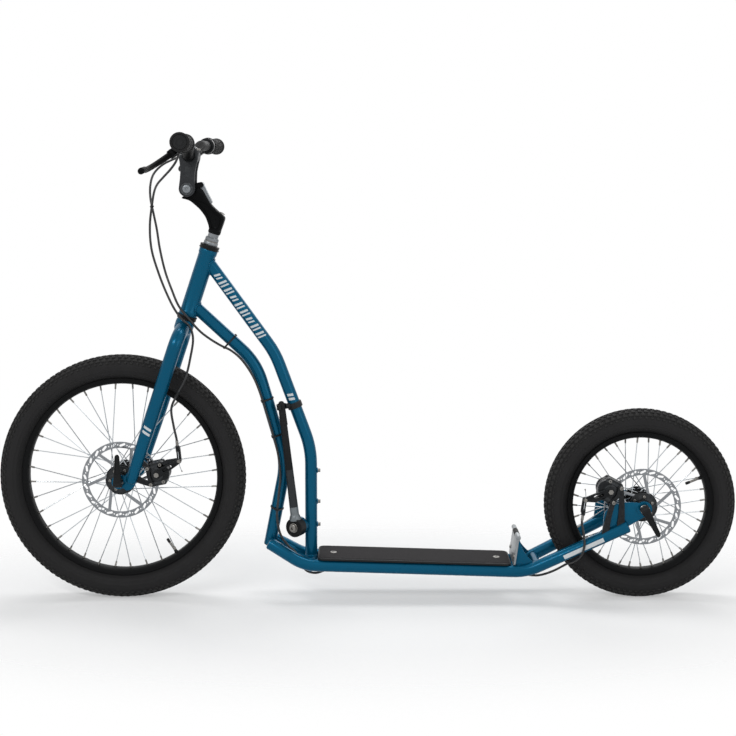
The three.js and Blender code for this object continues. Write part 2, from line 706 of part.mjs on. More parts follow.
function makeLockLever() {
  const half = lockLever.width / 2;
  const blade = plateXZ(lockLeverShape(0), -half, half);
  const pin = rodY(lockPivot.x, lockPivot.z, -half - lockLever.ear, half + lockLever.ear, lockLever.pin,
    roundSides.bolt);
  return blade.add(pin);
}

function lockLeverRoom() {
  const half = lockLever.width / 2 + seat;
  const pinHole = rodY(lockPivot.x, lockPivot.z, -neck.width, neck.width, lockLever.pin + seat,
    roundSides.bolt);
  return plateXZ(lockLeverShape(seat), -half, half).add(pinHole);
}

function leverEars() {
  const half = lockLever.width / 2 + seat;
  const out = half + lockLever.ear;
  const foot = stemPivot.clone().lerp(lockPivot, lockLever.earFootShare);
  const shape = slotShape(foot.x, foot.z, lockPivot.x, lockPivot.z, lockLever.earRoot,
    lockLever.endRadius);
  const ear = plateXZ(shape, half, out);
  return ear.add(mirrored(ear));
}

// A place on the stem arm, along it from its pivot and across it.
function onArm(along, across = 0) {
  return stemPivot.clone().addScaledVector(armAlong, along).addScaledVector(armAcross, across);
}

// The upper arm: two cheeks beside the neck's boss and a block with the bar's lower seat.
function makeStemArm() {
  const inner = neck.width / 2 + seat;
  const outer = inner + stemArm.cheek;
  const cheekShape = slotShape(stemPivot.x, stemPivot.z, barCentre.x, barCentre.z, neck.boss,
    barClamp.radius);
  const cheek = plateXZ(cheekShape, inner, outer);
  const blockFoot = onArm(stemArm.blockFrom + neck.boss);
  const block = plateXZ(slotShape(blockFoot.x, blockFoot.z, barCentre.x, barCentre.z,
    stemArm.blockFoot, barClamp.radius), -outer, outer);
  const clearBoss = rodY(stemPivot.x, stemPivot.z, -inner, inner, neck.boss + runningGap * 2,
    roundSides.hub);
  const bolt = rodY(stemPivot.x, stemPivot.z, -outer * 2, outer * 2, stemBolt.radius + seat);
  return cut(joined([cheek, mirrored(cheek), block]), [clearBoss, bolt, barRoom(), capHalf(-1)]);
}

function barRoom() {
  const half = bar.bulgeHalf * 2;
  return rodY(barCentre.x, barCentre.z, -half, half, bar.bulgeRadius + seat, roundSides.hub);
}

// The half space on one side of the clamp's split, as a large block.
function capHalf(side) {
  const size = neck.reach;
  const block = box(-size, size, -size, size, side < 0 ? -stemArm.split / 2 : stemArm.split / 2,
    side < 0 ? size : -size);
  return block.rotate([0, THREE.MathUtils.radToDeg(-stemArm.tilt), 0])
    .translate([barCentre.x, 0, barCentre.z]);
}

function makeClampCap() {
  const outer = neck.width / 2 + seat + stemArm.cheek;
  const ring = rodY(barCentre.x, barCentre.z, -outer, outer, barClamp.radius, roundSides.hub);
  const pieces = [cut(ring, [barRoom(), capHalf(1)])];
  const boltSide = outer - barClamp.boltInset;
  for (const side of [-1, 1]) {
    for (const across of [-1, 1]) {
      const foot = onArm(stemArm.length + stemArm.split, across * barClamp.earReach);
      const head = onArm(stemArm.length + barClamp.boltRise, across * barClamp.earReach);
      foot.y = side * boltSide;
      head.y = side * boltSide;
      pieces.push(rod(foot, head, barClamp.earBolt, roundSides.bolt));
    }
  }
  return joined(pieces);
}

function makeStemBolt() {
  const half = neck.width / 2 + seat * 2 + stemArm.cheek;
  return joined([
    rodY(stemPivot.x, stemPivot.z, -half, half, stemBolt.radius),
    rodY(stemPivot.x, stemPivot.z, half, half + stemBolt.headHeight, stemBolt.headRadius, 6),
    rodY(stemPivot.x, stemPivot.z, -half - stemBolt.headHeight, -half, stemBolt.headRadius),
  ]);
}

// Places on the left half of the handlebar's middle line.
const barEnd = vec(barCentre.x + bar.sweep, -(bar.halfWidth - grip.endThickness - seat),
  barCentre.z + bar.rise);
const barBend = vec(barCentre.x + bar.sweepAtBend, -bar.outerHalf, barCentre.z + bar.riseAtBend);
const barOut = vec().subVectors(barEnd, barBend).normalize();

function alongBar(fromTip) {
  return barEnd.clone().addScaledVector(barOut, grip.endThickness + seat - fromTip);
}

function makeHandlebar() {
  const other = (place) => vec(place.x, -place.y, place.z);
  const inner = vec(barCentre.x, -bar.innerHalf, barCentre.z);
  const corners = [barEnd, barBend, inner, other(inner), other(barBend), other(barEnd)];
  const tubeShape = bentTube(corners, [bar.bend, bar.bend, bar.bend, bar.bend], bar.radius);
  return tubeShape.add(rodY(barCentre.x, barCentre.z, -bar.bulgeHalf, bar.bulgeHalf, bar.bulgeRadius,
    roundSides.hub));
}

function makeGrip() {
  const sides = roundSides.grip;
  const sleeve = rod(alongBar(grip.length), alongBar(0), grip.radius, sides);
  const flange = rod(alongBar(grip.endThickness), alongBar(0), grip.endRadius, sides);
  const collar = rod(alongBar(grip.length), alongBar(grip.length - grip.endThickness), grip.endRadius,
    sides);
  const room = rod(alongBar(grip.length + overrun), alongBar(grip.endThickness), bar.radius + seat * 2,
    sides);
  return joined([sleeve, flange, collar]).subtract(room);
}

// The lever's plane holds the bar's line and drops forwards from it.
const leverOut = vec(-Math.cos(headTilt + leverDrop), 0, -Math.sin(headTilt + leverDrop));
const leverAlong = barOut.clone();
const leverNormal = vec().crossVectors(leverOut, leverAlong).normalize();
const clampPlace = alongBar(grip.length + leverClamp.gripGap + leverClamp.width / 2);
const leverPivot = clampPlace.clone().addScaledVector(leverOut, leverClamp.reach);

// The cable's barrel stands beside the lever's pin and points inwards.
const barrelFoot = clampPlace.clone().addScaledVector(leverOut, leverClamp.reach * adjuster.outShare);
const barrelEnd = barrelFoot.clone().addScaledVector(barOut, -leverClamp.width / 2 - adjuster.length);

// Turns a plate drawn with X away from the bar and Y along it into place at the lever's pivot.
function leverPlate(shape, half) {
  const settings = { depth: half * 2, bevelEnabled: false, curveSegments: 4 };
  const geometry = new THREE.ExtrudeGeometry(shape, settings);
  geometry.translate(0, 0, -half);
  const basis = new THREE.Matrix4().makeBasis(leverOut, leverAlong, leverNormal);
  geometry.applyMatrix4(basis.setPosition(leverPivot));
  return solid(geometry);
}

// A strip of changing width along a path, as an outline.
function strip(path, widths) {
  const left = [];
  const right = [];
  path.forEach((place, k) => {
    const before = path[Math.max(k - 1, 0)];
    const after = path[Math.min(k + 1, path.length - 1)];
    const along = new THREE.Vector2(after[0] - before[0], after[1] - before[1]).normalize();
    left.push(new THREE.Vector2(place[0] - along.y * widths[k], place[1] + along.x * widths[k]));
    right.push(new THREE.Vector2(place[0] + along.y * widths[k], place[1] - along.x * widths[k]));
  });
  return new THREE.Shape([...left, ...right.reverse()]);
}

function makeBrakeLever() {
  const path = [[0, 0], ...leverPathShares.map(([out, along]) => [out * leverPath.reach,
    along * leverPath.length])];
  const widths = path.map((_, k) => (k < 2 ? leverPath.rootHalfWidth : leverPath.halfWidth));
  const blade = leverPlate(strip(path, widths), brakeLever.thickness / 2);
  const boss = new THREE.Shape().absarc(0, 0, brakeLever.boss, 0, 2 * Math.PI, false);
  const hole = new THREE.Shape().absarc(0, 0, brakeLever.pin + seat, 0, 2 * Math.PI, false);
  return joined([blade, leverPlate(boss, brakeLever.thickness / 2)])
    .subtract(leverPlate(hole, brakeLever.thickness));
}

// The lever's clamp on the bar, with a forked arm that holds the lever's pin.
function makeLeverClamp() {
  const half = leverClamp.width / 2;
  const a = clampPlace.clone().addScaledVector(barOut, -half);
  const b = clampPlace.clone().addScaledVector(barOut, half);
  const ring = rod(a, b, leverClamp.radius, roundSides.small);
  const room = rod(a.clone().addScaledVector(barOut, -overrun), b.clone().addScaledVector(barOut, overrun),
    bar.radius + seat * 2, roundSides.small);
  const cheekHalf = brakeLever.thickness / 2 + seat + leverClamp.cheek;
  const armShape = slotShape(-leverClamp.reach, 0, 0, 0, half, brakeLever.boss);
  const arm = leverPlate(armShape, cheekHalf);
  const slot = leverPlate(slotShape(0, 0, leverPath.reach, 0, brakeLever.boss + runningGap * 2),
    brakeLever.thickness / 2 + seat);
  const pin = leverPlate(new THREE.Shape().absarc(0, 0, brakeLever.pin, 0, 2 * Math.PI, false), cheekHalf);
  const barrel = rod(barrelFoot, barrelEnd, adjuster.radius, roundSides.bolt);
  return cut(joined([ring, arm, barrel]), [room, slot]).add(pin);
}

// Frame tubes

function onRail(x) {
  const share = (x - railKneeX) / (railRearX - railKneeX);
  return rail.kneeZ + (rail.rearZ - rail.kneeZ) * share;
}

const stayEnd = vec(rearHub.x - stay.endAhead, -stay.offset, rearHub.z - stay.endDrop);
const railRear = vec(railRearX, -rail.offset - stay.spread, rail.rearZ);

function onStay(share) {
  return railRear.clone().lerp(stayEnd, share);
}

function railCorners() {
  return [
    vec(tyreBack + rail.frontBehind, -(tube.radius * 2 + seat), rail.frontZ),
    vec(railKneeX, -rail.offset, rail.kneeZ),
    railRear,
    stayEnd,
  ];
}

function makeRail(grow = 0) {
  return bentTube(railCorners(), [rail.bend, stay.bend], tube.radius + grow);
}

// The room that the frame's tubes leave for the head tube.
function headCut() {
  return steeringToBike(rodZ(0, 0, headBottom - throughCut, headTop + throughCut,
    headTube.radius + seat, roundSides.hub));
}

const riserFoot = vec(riserX, 0, onRail(riserX));

function topTubeCorners() {
  return [
    onHead(headTop - topTube.joinDrop),
    vec(tyreBack + topTube.elbowBehind, 0, topTube.elbowZ),
    vec(riserX, 0, topTube.kneeZ),
    riserFoot,
  ];
}

function makeTopTube() {
  const pieces = [bentTube(topTubeCorners(), [topTube.bend, topTube.bend])];
  for (const height of accessoryBolt.heights) {
    const face = riserX + tube.radius;
    pieces.push(rod(vec(face - overrun, 0, height), vec(face + accessoryBolt.height, 0, height),
      accessoryBolt.radius, roundSides.screw));
  }
  return cut(joined(pieces), [headCut(), makeFrontCross(seat)]);
}

function makeLowerTube() {
  const corners = [
    onHead(headBottom + lowerTube.joinRise),
    vec(tyreBack + lowerTube.elbowBehind, 0, lowerTube.elbowZ),
    vec(tyreBack + lowerTube.kneeBehind, 0, lowerTube.kneeZ),
    vec(tyreBack + lowerTube.endBehind, 0, lowerTube.endZ),
  ];
  const whole = bentTube(corners, [lowerTube.bend, lowerTube.bend]);
  const cupCut = steeringToBike(rodZ(0, 0, headBottom - throughCut, headBottom, cup.radius + seat,
    roundSides.hub));
  return cut(whole, [headCut(), cupCut, makeRail(seat), mirrored(makeRail(seat))]);
}

function makeFrontCross(grow = 0) {
  const reach = rail.offset + grow;
  const shape = rodY(riserFoot.x, riserFoot.z, -reach, reach, tube.radius + grow);
  return grow > 0 ? shape : cut(shape, [makeRail(seat), mirrored(makeRail(seat))]);
}

function makeRearCross() {
  const place = onStay(crossTube.behindKnee / (stayEnd.x - railRear.x));
  const shape = rodY(place.x, place.z, -rail.offset - stay.spread, rail.offset + stay.spread,
    crossTube.radius);
  return cut(shape, [makeRail(seat), mirrored(makeRail(seat))]);
}

// The left rear dropout: a plate from the stay's end to an eye round the axle.
function makeRearDropout() {
  const d = dropoutPlate;
  const front = rearHub.x - d.length;
  const { ahead, above, behind, below } = d.bossShares;
  const foot = onStay((front - railRear.x) / (stayEnd.x - railRear.x));
  const outline = [
    [front, foot.z], [front + d.top, rearHub.z - d.drop - d.top],
    [rearHub.x - d.boss * ahead, rearHub.z - d.top / 2],
    [rearHub.x, rearHub.z + d.boss * above],
    [rearHub.x + d.boss * behind, rearHub.z - d.boss * below],
    [stayEnd.x, stayEnd.z],
  ];
  const y0 = -axleHalfWidth - d.thickness;
  const plate = plateXZ(outlineXZ(outline), y0, -axleHalfWidth);
  const eye = rodY(rearHub.x, rearHub.z, y0, -axleHalfWidth, d.boss, roundSides.hub);
  const hole = axleCut(0).translate([rearHub.x, 0, rearHub.z]);
  return cut(plate.add(eye), [makeRail(seat), hole]);
}

// Footboard, upright plate and gussets

const deckFront = riserX + tube.radius + deck.riserGap;
const railSlope = Math.atan2(rail.kneeZ - rail.rearZ, railRearX - railKneeX);

// Lifts a piece drawn along X at height zero onto the sloping rails.
function onRails(shape, x, height) {
  return shape.rotate([0, THREE.MathUtils.radToDeg(railSlope), 0]).translate([x, 0, onRail(x) + height]);
}

function makeDeck() {
  const half = deck.width / 2;
  const c = deck.corner;
  const outline = new THREE.Shape();
  outline.moveTo(0, -half + c);
  outline.absarc(c, -half + c, c, Math.PI, 1.5 * Math.PI, false);
  outline.absarc(deck.length - c, -half + c, c, 1.5 * Math.PI, 2 * Math.PI, false);
  outline.absarc(deck.length - c, half - c, c, 0, Math.PI / 2, false);
  outline.absarc(c, half - c, c, Math.PI / 2, Math.PI, false);
  const geometry = new THREE.ExtrudeGeometry(outline, { depth: deck.thickness, bevelEnabled: false,
    curveSegments: 3 });
  return onRails(solid(geometry), deckFront, tube.radius + seat);
}

function stopFrame() {
  return riserX + riserToStop;
}

function makeStopPlate() {
  const half = stopPlate.width / 2;
  const foot = onRail(stopFrame()) + tube.radius + seat;
  const upright = box(0, stopPlate.thickness, -half, half, 0, stopPlate.height);
  const roll = rodY(stopPlate.thickness / 2, stopPlate.height, -half, half, stopPlate.roll, roundSides.bolt);
  const whole = joined([upright, roll]).rotate([0, THREE.MathUtils.radToDeg(stopPlate.leanAngle), 0])
    .translate([stopFrame(), 0, foot - overrun]);
  return cut(whole, [makeRail(seat), mirrored(makeRail(seat))]);
}

// A side gusset: from the rail up behind the upright plate.
function makeGusset() {
  const x = stopFrame() + stopPlate.thickness + gusset.gapBehind;
  const rise = Math.tan(stopPlate.leanAngle);
  const foot = onRail(x) + tube.radius / 2;
  const top = onRail(x) + tube.radius + gusset.height;
  const toe = onRail(x) + tube.radius;
  const heel = onStay((x + gusset.length - railRear.x) / (stayEnd.x - railRear.x));
  const { curveShares } = gusset;
  const outline = new THREE.Shape();
  outline.moveTo(x, foot);
  outline.lineTo(x + (top - foot) * rise, top);
  outline.quadraticCurveTo(x + gusset.length * curveShares.along, toe + gusset.height * curveShares.up,
    heel.x, heel.z);
  const y1 = -rail.offset + gusset.thickness / 2;
  return plateXZ(outline, y1 - gusset.thickness, y1, 4).subtract(makeRail(seat));
}

// Side stand

const standPlace = vec(riserX - stand.pivotAhead, -stand.side, stand.pivotZ);
const standAxis = vec(Math.cos(standTurn), Math.sin(standTurn), 0);
const standUp = vec(-Math.sin(standRod.lean), 0, Math.cos(standRod.lean));

function onStandAxis(along) {
  return standPlace.clone().addScaledVector(standAxis, along);
}

// The bracket: a round seat for the stand's boss on a lug from the riser.
function makeStandBracket() {
  const half = stand.bossThickness / 2;
  const seatDisc = rod(onStandAxis(half + seat), onStandAxis(half + seat + standBracket.thickness),
    standBracket.radius, roundSides.hub);
  const middle = onStandAxis(half + seat + standBracket.thickness / 2);
  const lug = rod(middle, vec(riserX, 0, stand.pivotZ), standBracket.lugHalf, roundSides.bolt);
  const riserCut = rodZ(riserX, 0, onRail(0), topTube.kneeZ, tube.radius + seat, roundSides.hub);
  const bolt = rod(onStandAxis(half + overrun), onStandAxis(-half - standBracket.bolt), standBracket.bolt,
    roundSides.bolt);
  const head = rod(onStandAxis(-half - seat), onStandAxis(-half - seat - standBracket.bolt),
    standBracket.boltHead, roundSides.screw);
  const lugKept = cut(lug, [riserCut, rod(onStandAxis(-half - overrun), onStandAxis(half + seat),
    standBracket.radius * 2, roundSides.hub)]);
  return joined([seatDisc, lugKept, bolt, head]);
}

function makeStandLeg() {
  const half = stand.bossThickness / 2;
  const boss = rod(onStandAxis(-half), onStandAxis(half), stand.boss, roundSides.hub);
  const top = standPlace.clone().addScaledVector(standUp, stand.length);
  const shaft = rod(standPlace, top, standRod.rootRadius, roundSides.small, standRod.tipRadius);
  const hole = rod(onStandAxis(-half - overrun), onStandAxis(half + overrun), standBracket.bolt + seat * 2,
    roundSides.bolt);
  return joined([boss, shaft]).subtract(hole);
}

// The stand's clip: a band round the top tube with an open hook for the folded rod.
function makeStandClip() {
  const c = standClip;
  const share = c.rise / stand.length;
  const rodRadius = standRod.rootRadius + (standRod.tipRadius - standRod.rootRadius) * share + c.hold;
  const held = standPlace.clone().addScaledVector(standUp, c.rise);
  const elbow = vec(tyreBack + topTube.elbowBehind, 0, topTube.elbowZ);
  const knee = vec(riserX, 0, topTube.kneeZ);
  const onTube = elbow.clone().lerp(knee, (elbow.z - held.z) / (elbow.z - knee.z));
  const along = vec().subVectors(elbow, knee).normalize();
  const round = (place, way, reach, radius) => rod(place.clone().addScaledVector(way, -reach),
    place.clone().addScaledVector(way, reach), radius, roundSides.hub);
  const band = round(onTube, along, c.height / 2, tube.radius + c.thickness);
  const hook = round(held, standUp, c.height / 2, rodRadius + c.thickness);
  const bridge = rod(onTube, held, c.height / 2, roundSides.bolt);
  const room = round(held, standUp, c.height, rodRadius);
  const swing = vec().crossVectors(standAxis, standUp).multiplyScalar(c.mouth);
  const mouth = wasm.Manifold.hull([room, room.translate(swing.toArray())]);
  const tubeRoom = round(onTube, along, throughCut, tube.radius + seat);
  return cut(joined([band, hook, bridge]), [tubeRoom, mouth]);
}

// Brakes. Each caliper is drawn with X pointing from the hub to it and Y along the axle.

function makeCaliper(armAngle) {
  const c = caliper;
  const face = disc.offset + disc.thickness / 2;
  const inFace = disc.offset - disc.thickness / 2;
  const body = box(c.inner, c.outer, -c.outboard, -c.inboard, -c.half, c.half);
  const nose = rodY(c.outer - c.half / 2, 0, -c.outboard, -c.inboard, c.nose, roundSides.small);
  const channel = box(c.inner - overrun, c.roof, -face - c.channel, -inFace + c.channel,
    -c.outer, c.outer);
  const movingRoom = box(c.inner - overrun, pad.outer + seat, -face - pad.gap - pad.thickness - seat,
    -face, -pad.half - seat, pad.half + seat);
  const fixedPad = box(pad.inner, pad.outer, -inFace + pad.gap, -inFace + c.channel + overrun / 2,
    -pad.half, pad.half);
  const postHole = rodY(caliperArm.pivot, 0, -c.outboard - overrun, -face - pad.gap - pad.thickness * 2,
    caliperArm.post + seat, roundSides.small);
  const stop = stopPlace(armAngle);
  const tip = armTip(armAngle);
  const pull = pullDirection(armAngle);
  const lugOut = -c.outboard + caliperArm.thickness;
  const lug = plateXZ(slotShape(c.outer - c.half / 2, c.half / 2, tip.x, tip.z, cableStop.lug),
    -c.outboard, lugOut, 3);
  const riser = plateXZ(slotShape(tip.x, tip.z, stop.x, stop.z, cableStop.lug), -c.outboard, lugOut, 3);
  const post = rodY(stop.x, stop.z, stop.y, lugOut, cableStop.lug, roundSides.bolt);
  const barrel = rod(stop.clone().addScaledVector(pull, -cableStop.half),
    stop.clone().addScaledVector(pull, cableStop.half), cableStop.radius, roundSides.bolt);
  const wireHole = rod(tip, stop.clone().addScaledVector(pull, cableStop.half + overrun),
    cable.wireRadius + runningGap, roundSides.screw);
  const tools = [channel, movingRoom, postHole, wireHole];
  return cut(joined([body, nose, lug, riser, post, barrel]), tools).add(fixedPad);
}

// The end of the caliper's arm, where the wire is clamped.
function armTip(armAngle) {
  return vec(caliperArm.pivot + caliperArm.length * Math.cos(armAngle),
    -caliper.outboard - caliperArm.standOff - caliperArm.thickness / 2,
    caliperArm.length * Math.sin(armAngle));
}

// The way in which the wire pulls the arm.
function pullDirection(armAngle) {
  const angle = armAngle + cableStop.ahead;
  return vec(Math.cos(angle), 0, Math.sin(angle));
}

// Where the cable's housing stops, beyond the arm's swing.
function stopPlace(armAngle) {
  return armTip(armAngle).addScaledVector(pullDirection(armAngle), cableStop.distance);
}

function makeCaliperArm(armAngle) {
  const a = caliperArm;
  const y1 = -caliper.outboard - a.standOff;
  const y0 = y1 - a.thickness;
  const tip = armTip(armAngle);
  const blade = plateXZ(slotShape(a.pivot, 0, tip.x, tip.z, a.boss, a.tip), y0, y1, 4);
  const clamp = rodY(tip.x, tip.z, y0 - a.clampBolt, y0, a.clampBolt, roundSides.screw);
  const post = rodY(a.pivot, 0, y0, -disc.offset - disc.thickness / 2 - pad.gap - pad.thickness * 2 - a.post,
    a.post, roundSides.bolt);
  return joined([blade, clamp, post]);
}

function makeMovingPad() {
  const face = -disc.offset - disc.thickness / 2 - pad.gap;
  return box(pad.inner, pad.outer, face - pad.thickness, face, -pad.half, pad.half);
}

// The bracket's two arms run from bolts on the caliper's outer face to the tube that carries it.
function makeCaliperBracket(roots) {
  const y1 = -caliper.outboard - seat;
  const y0 = y1 - bracket.thickness;
  const pieces = [];
  roots.forEach(([x, z], k) => {
    const boltZ = (k === 0 ? -1 : 1) * bracket.boltHalf;
    pieces.push(plateXZ(slotShape(bracket.boltX, boltZ, x, z, bracket.eye, bracket.root), y0, y1, 3));
    pieces.push(rodY(bracket.boltX, boltZ, y0 - bracket.boltHeight, y0, bracket.bolt, roundSides.screw));
  });
  pieces.push(plateXZ(slotShape(bracket.boltX, -bracket.boltHalf, bracket.boltX, bracket.boltHalf,
    bracket.eye), y0, y1, 3));
  return joined(pieces);
}

// A group at a hub, turned so that its X axis points to the caliper.
function caliperGroup(parent, place, angle) {
  const group = new THREE.Group();
  group.position.copy(place);
  group.rotation.y = -angle;
  parent.add(group);
  group.updateMatrixWorld(true);
  return group;
}

// Quick release: the lever is drawn pointing up, its pin along X.
function makeQuickRelease() {
  const q = quickRelease;
  const camY = -axleHalfWidth - dropoutThickness - seat - q.cam;
  const cam = rod(vec(-q.cam, camY, 0), vec(q.cam, camY, 0), q.cam, roundSides.small);
  const blade = plateXZ(slotShape(0, q.bladeRoot, 0, q.blade, q.bladeRoot, q.bladeTip),
    camY - q.cam, camY - q.cam + q.bladeThickness);
  const pin = rod(vec(-q.cam, camY, 0), vec(q.cam, camY, 0), q.pin, roundSides.screw);
  const slotHalf = axle.stubRadius + q.slack;
  const slot = box(-slotHalf, slotHalf, camY - q.cam - overrun, camY + q.cam + overrun,
    -q.cam - overrun, q.cam + q.slack);
  return cut(joined([cam, blade]), [slot]).add(pin);
}

// Assembly

// The turning pieces of a wheel, and what holds it at its axle.
function addAxleSet(group, name, releaseTurn) {
  const turned = new THREE.Group();
  turned.rotation.y = releaseTurn;
  group.add(turned);
  addPart(turned, `${name}_axle`, makeAxle(), brightSteel);
  addPart(turned, `${name}_quick_release`, makeQuickRelease(), satinBlack);
}

// A brake: caliper, bracket, arm and moving pad. The carrier is the tube that the bracket meets.
function addBrake(parent, name, angle, armAngle, roots, carrier) {
  const group = caliperGroup(parent, vec(0, 0, 0), angle);
  addPart(group, `${name}_caliper`, makeCaliper(armAngle), satinBlack);
  addPart(group, `${name}_caliper_bracket`, makeCaliperBracket(roots).subtract(carrier), satinBlack);
  addPart(group, `${name}_caliper_arm`, makeCaliperArm(armAngle), blackAlloy);
  addPart(group, `${name}_moving_pad`, makeMovingPad(), padCompound);
  return group;
}

// A place given from the hub, seen in the frame of a caliper turned by the angle.
function seenFromCaliper(place, angle) {
  return place.clone().applyAxisAngle(vec(0, 1, 0), angle);
}

function frontBrakeCarrier() {
  const at = (along) => seenFromCaliper(vec(rake, -forkLeg.offset, along), frontCaliperAngle);
  const { low, high } = frontBracketRoots;
  const reach = high - low;
  return {
    roots: [at(low), at(high)].map((place) => [place.x, place.z]),
    carrier: rod(at(low - reach), at(high + reach), forkLeg.radius + seat, roundSides.hub),
  };
}

function rearBrakeCarrier() {
  const at = (share) => seenFromCaliper(onStay(share).sub(rearHub), rearCaliperAngle);
  const { lowShare, highShare } = rearBracketRoots;
  const spread = highShare - lowShare;
  return {
    roots: [at(highShare), at(lowShare)].map((place) => [place.x, place.z]),
    carrier: rod(at(lowShare - spread), at(highShare + spread), tube.radius + seat, roundSides.hub),
  };
}

// A brake cable: its housing from the lever's barrel to the stop, and its wire to the arm.
function makeCable(side, route, brake, armAngle) {
  const handed = (place) => vec(place.x, -side * place.y, place.z);
  const fromBarrel = (along) => handed(barrelEnd.clone().addScaledVector(barOut, -along))
    .applyMatrix4(steering.matrixWorld);
  const start = fromBarrel(seat);
  const after = fromBarrel(cable.lead);
  const pull = pullDirection(armAngle);
  const fromStop = (along) => stopPlace(armAngle).addScaledVector(pull, along)
    .applyMatrix4(brake.matrixWorld);
  const end = fromStop(cableStop.half + seat);
  const before = fromStop(cableStop.half + cable.lead);
  const places = [start, after, ...route, before, end];
  const housing = laidCable(places);
  const clampEdge = fromStop(-cableStop.distance + caliperArm.tip + seat);
  const wire = rod(fromStop(cableStop.half + overrun), clampEdge, cable.wireRadius, roundSides.screw);
  return housing.add(wire);
}

// The places of a route's group, measured from their anchor.
function placesFrom(anchor, offsets) {
  return offsets.map((offset) => anchor.clone().add(vec(...offset)));
}

// Places beside the left stay: how far behind its front end, across from it and above it.
function placesByStay(offsets) {
  return offsets.map(([behind, across, up]) => (
    onStay(behind / (stayEnd.x - railRear.x)).add(vec(0, across, up))));
}

bike.updateMatrixWorld(true);

const barMiddle = barCentre.clone().applyMatrix4(steering.matrixWorld);
const frontRoute = [
  ...placesFrom(barMiddle, frontCableRoute.byBars),
  ...placesFrom(onHead(headBottom), frontCableRoute.byHead),
  ...placesFrom(frontHub, frontCableRoute.byHub),
];
const rearRoute = [
  ...placesFrom(barMiddle, rearCableRoute.byBars),
  ...placesFrom(onHead(headBottom), rearCableRoute.byHead),
  ...placesFrom(vec(riserX, 0, 0), rearCableRoute.byRiser),
  ...placesFrom(vec(railRearX, 0, 0), rearCableRoute.byRailEnd),
  ...placesByStay(rearCableRoute.byStay),
  ...placesFrom(rearHub, rearCableRoute.byRearHub),
];

addWheel(frontWheel, "front", frontTyre, frontValveTurn);
addAxleSet(frontWheel, "front", frontReleaseTurn);
const frontSide = frontBrakeCarrier();
const frontBrake = addBrake(frontWheel, "front", frontCaliperAngle, frontArmAngle, frontSide.roots,
  frontSide.carrier);

addWheel(rearWheel, "rear", rearTyre, rearValveTurn);
addAxleSet(rearWheel, "rear", rearReleaseTurn);
const rearSide = rearBrakeCarrier();
const rearBrake = addBrake(rearWheel, "rear", rearCaliperAngle, rearArmAngle, rearSide.roots,
  rearSide.carrier);

addPart(steering, "head_tube", makeHeadTube(), blueEnamel);
addPart(steering, "lower_headset_cup", makeCup(headBottom, -1), satinBlack);
addPart(steering, "upper_headset_cup", makeCup(headTop, 1), satinBlack);
addPart(steering, "fork_steerer", makeSteerer(), blueEnamel);
addPart(steering, "headset_lock_nut", makeLockNut(), greyAlloy);
addPart(steering, "left_fork_leg", makeForkLeg(), blueEnamel);
addPart(steering, "right_fork_leg", mirrored(makeForkLeg()), blueEnamel);
addPart(steering, "stem_neck", makeNeck(), satinBlack);
addPart(steering, "stem_arm", makeStemArm(), blackAlloy);
addPart(steering, "stem_pivot_bolt", makeStemBolt(), greyAlloy);
addPart(steering, "bar_clamp_cap", makeClampCap(), blackAlloy);
addPart(steering, "stem_lock_lever", makeLockLever(), greyAlloy);
addPart(steering, "handlebar", makeHandlebar(), satinBlack);
addPart(steering, "left_grip", makeGrip(), rubber);
addPart(steering, "right_grip", mirrored(makeGrip()), rubber);
addPart(steering, "left_lever_clamp", makeLeverClamp(), satinBlack);
addPart(steering, "right_lever_clamp", mirrored(makeLeverClamp()), satinBlack);
addPart(steering, "left_brake_lever", makeBrakeLever(), satinBlack);
addPart(steering, "right_brake_lever", mirrored(makeBrakeLever()), satinBlack);

addPart(bike, "top_tube", makeTopTube(), blueEnamel);
addPart(bike, "lower_tube", makeLowerTube(), blueEnamel);
addPart(bike, "left_rail", makeRail(), blueEnamel);
addPart(bike, "right_rail", mirrored(makeRail()), blueEnamel);
addPart(bike, "front_cross_tube", makeFrontCross(), blueEnamel);
addPart(bike, "rear_cross_tube", makeRearCross(), blueEnamel);
addPart(bike, "left_dropout", makeRearDropout(), blueEnamel);
addPart(bike, "right_dropout", mirrored(makeRearDropout()), blueEnamel);
addPart(bike, "deck_board", makeDeck(), gripTape);
addPart(bike, "foot_stop_plate", makeStopPlate(), greyAlloy);
addPart(bike, "left_gusset", makeGusset(), blueEnamel);
addPart(bike, "right_gusset", mirrored(makeGusset()), blueEnamel);
addPart(bike, "stand_bracket", makeStandBracket(), satinBlack);
addPart(bike, "stand_leg", makeStandLeg(), satinBlack);
addPart(bike, "stand_clip", makeStandClip(), greyAlloy);
addPart(bike, "front_brake_cable", makeCable(-1, frontRoute, frontBrake, frontArmAngle), rubber);
addPart(bike, "rear_brake_cable", makeCable(1, rearRoute, rearBrake, rearArmAngle), rubber);

export default bike;
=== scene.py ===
"""A kick bike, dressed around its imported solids: frame, fork, wheels, brakes, stem, bar and stand."""

import json
import logging
import math
from dataclasses import dataclass, field, replace
from enum import Enum
from typing import Optional, Sequence, Union

import bmesh
import bpy
from mathutils import Matrix, Vector

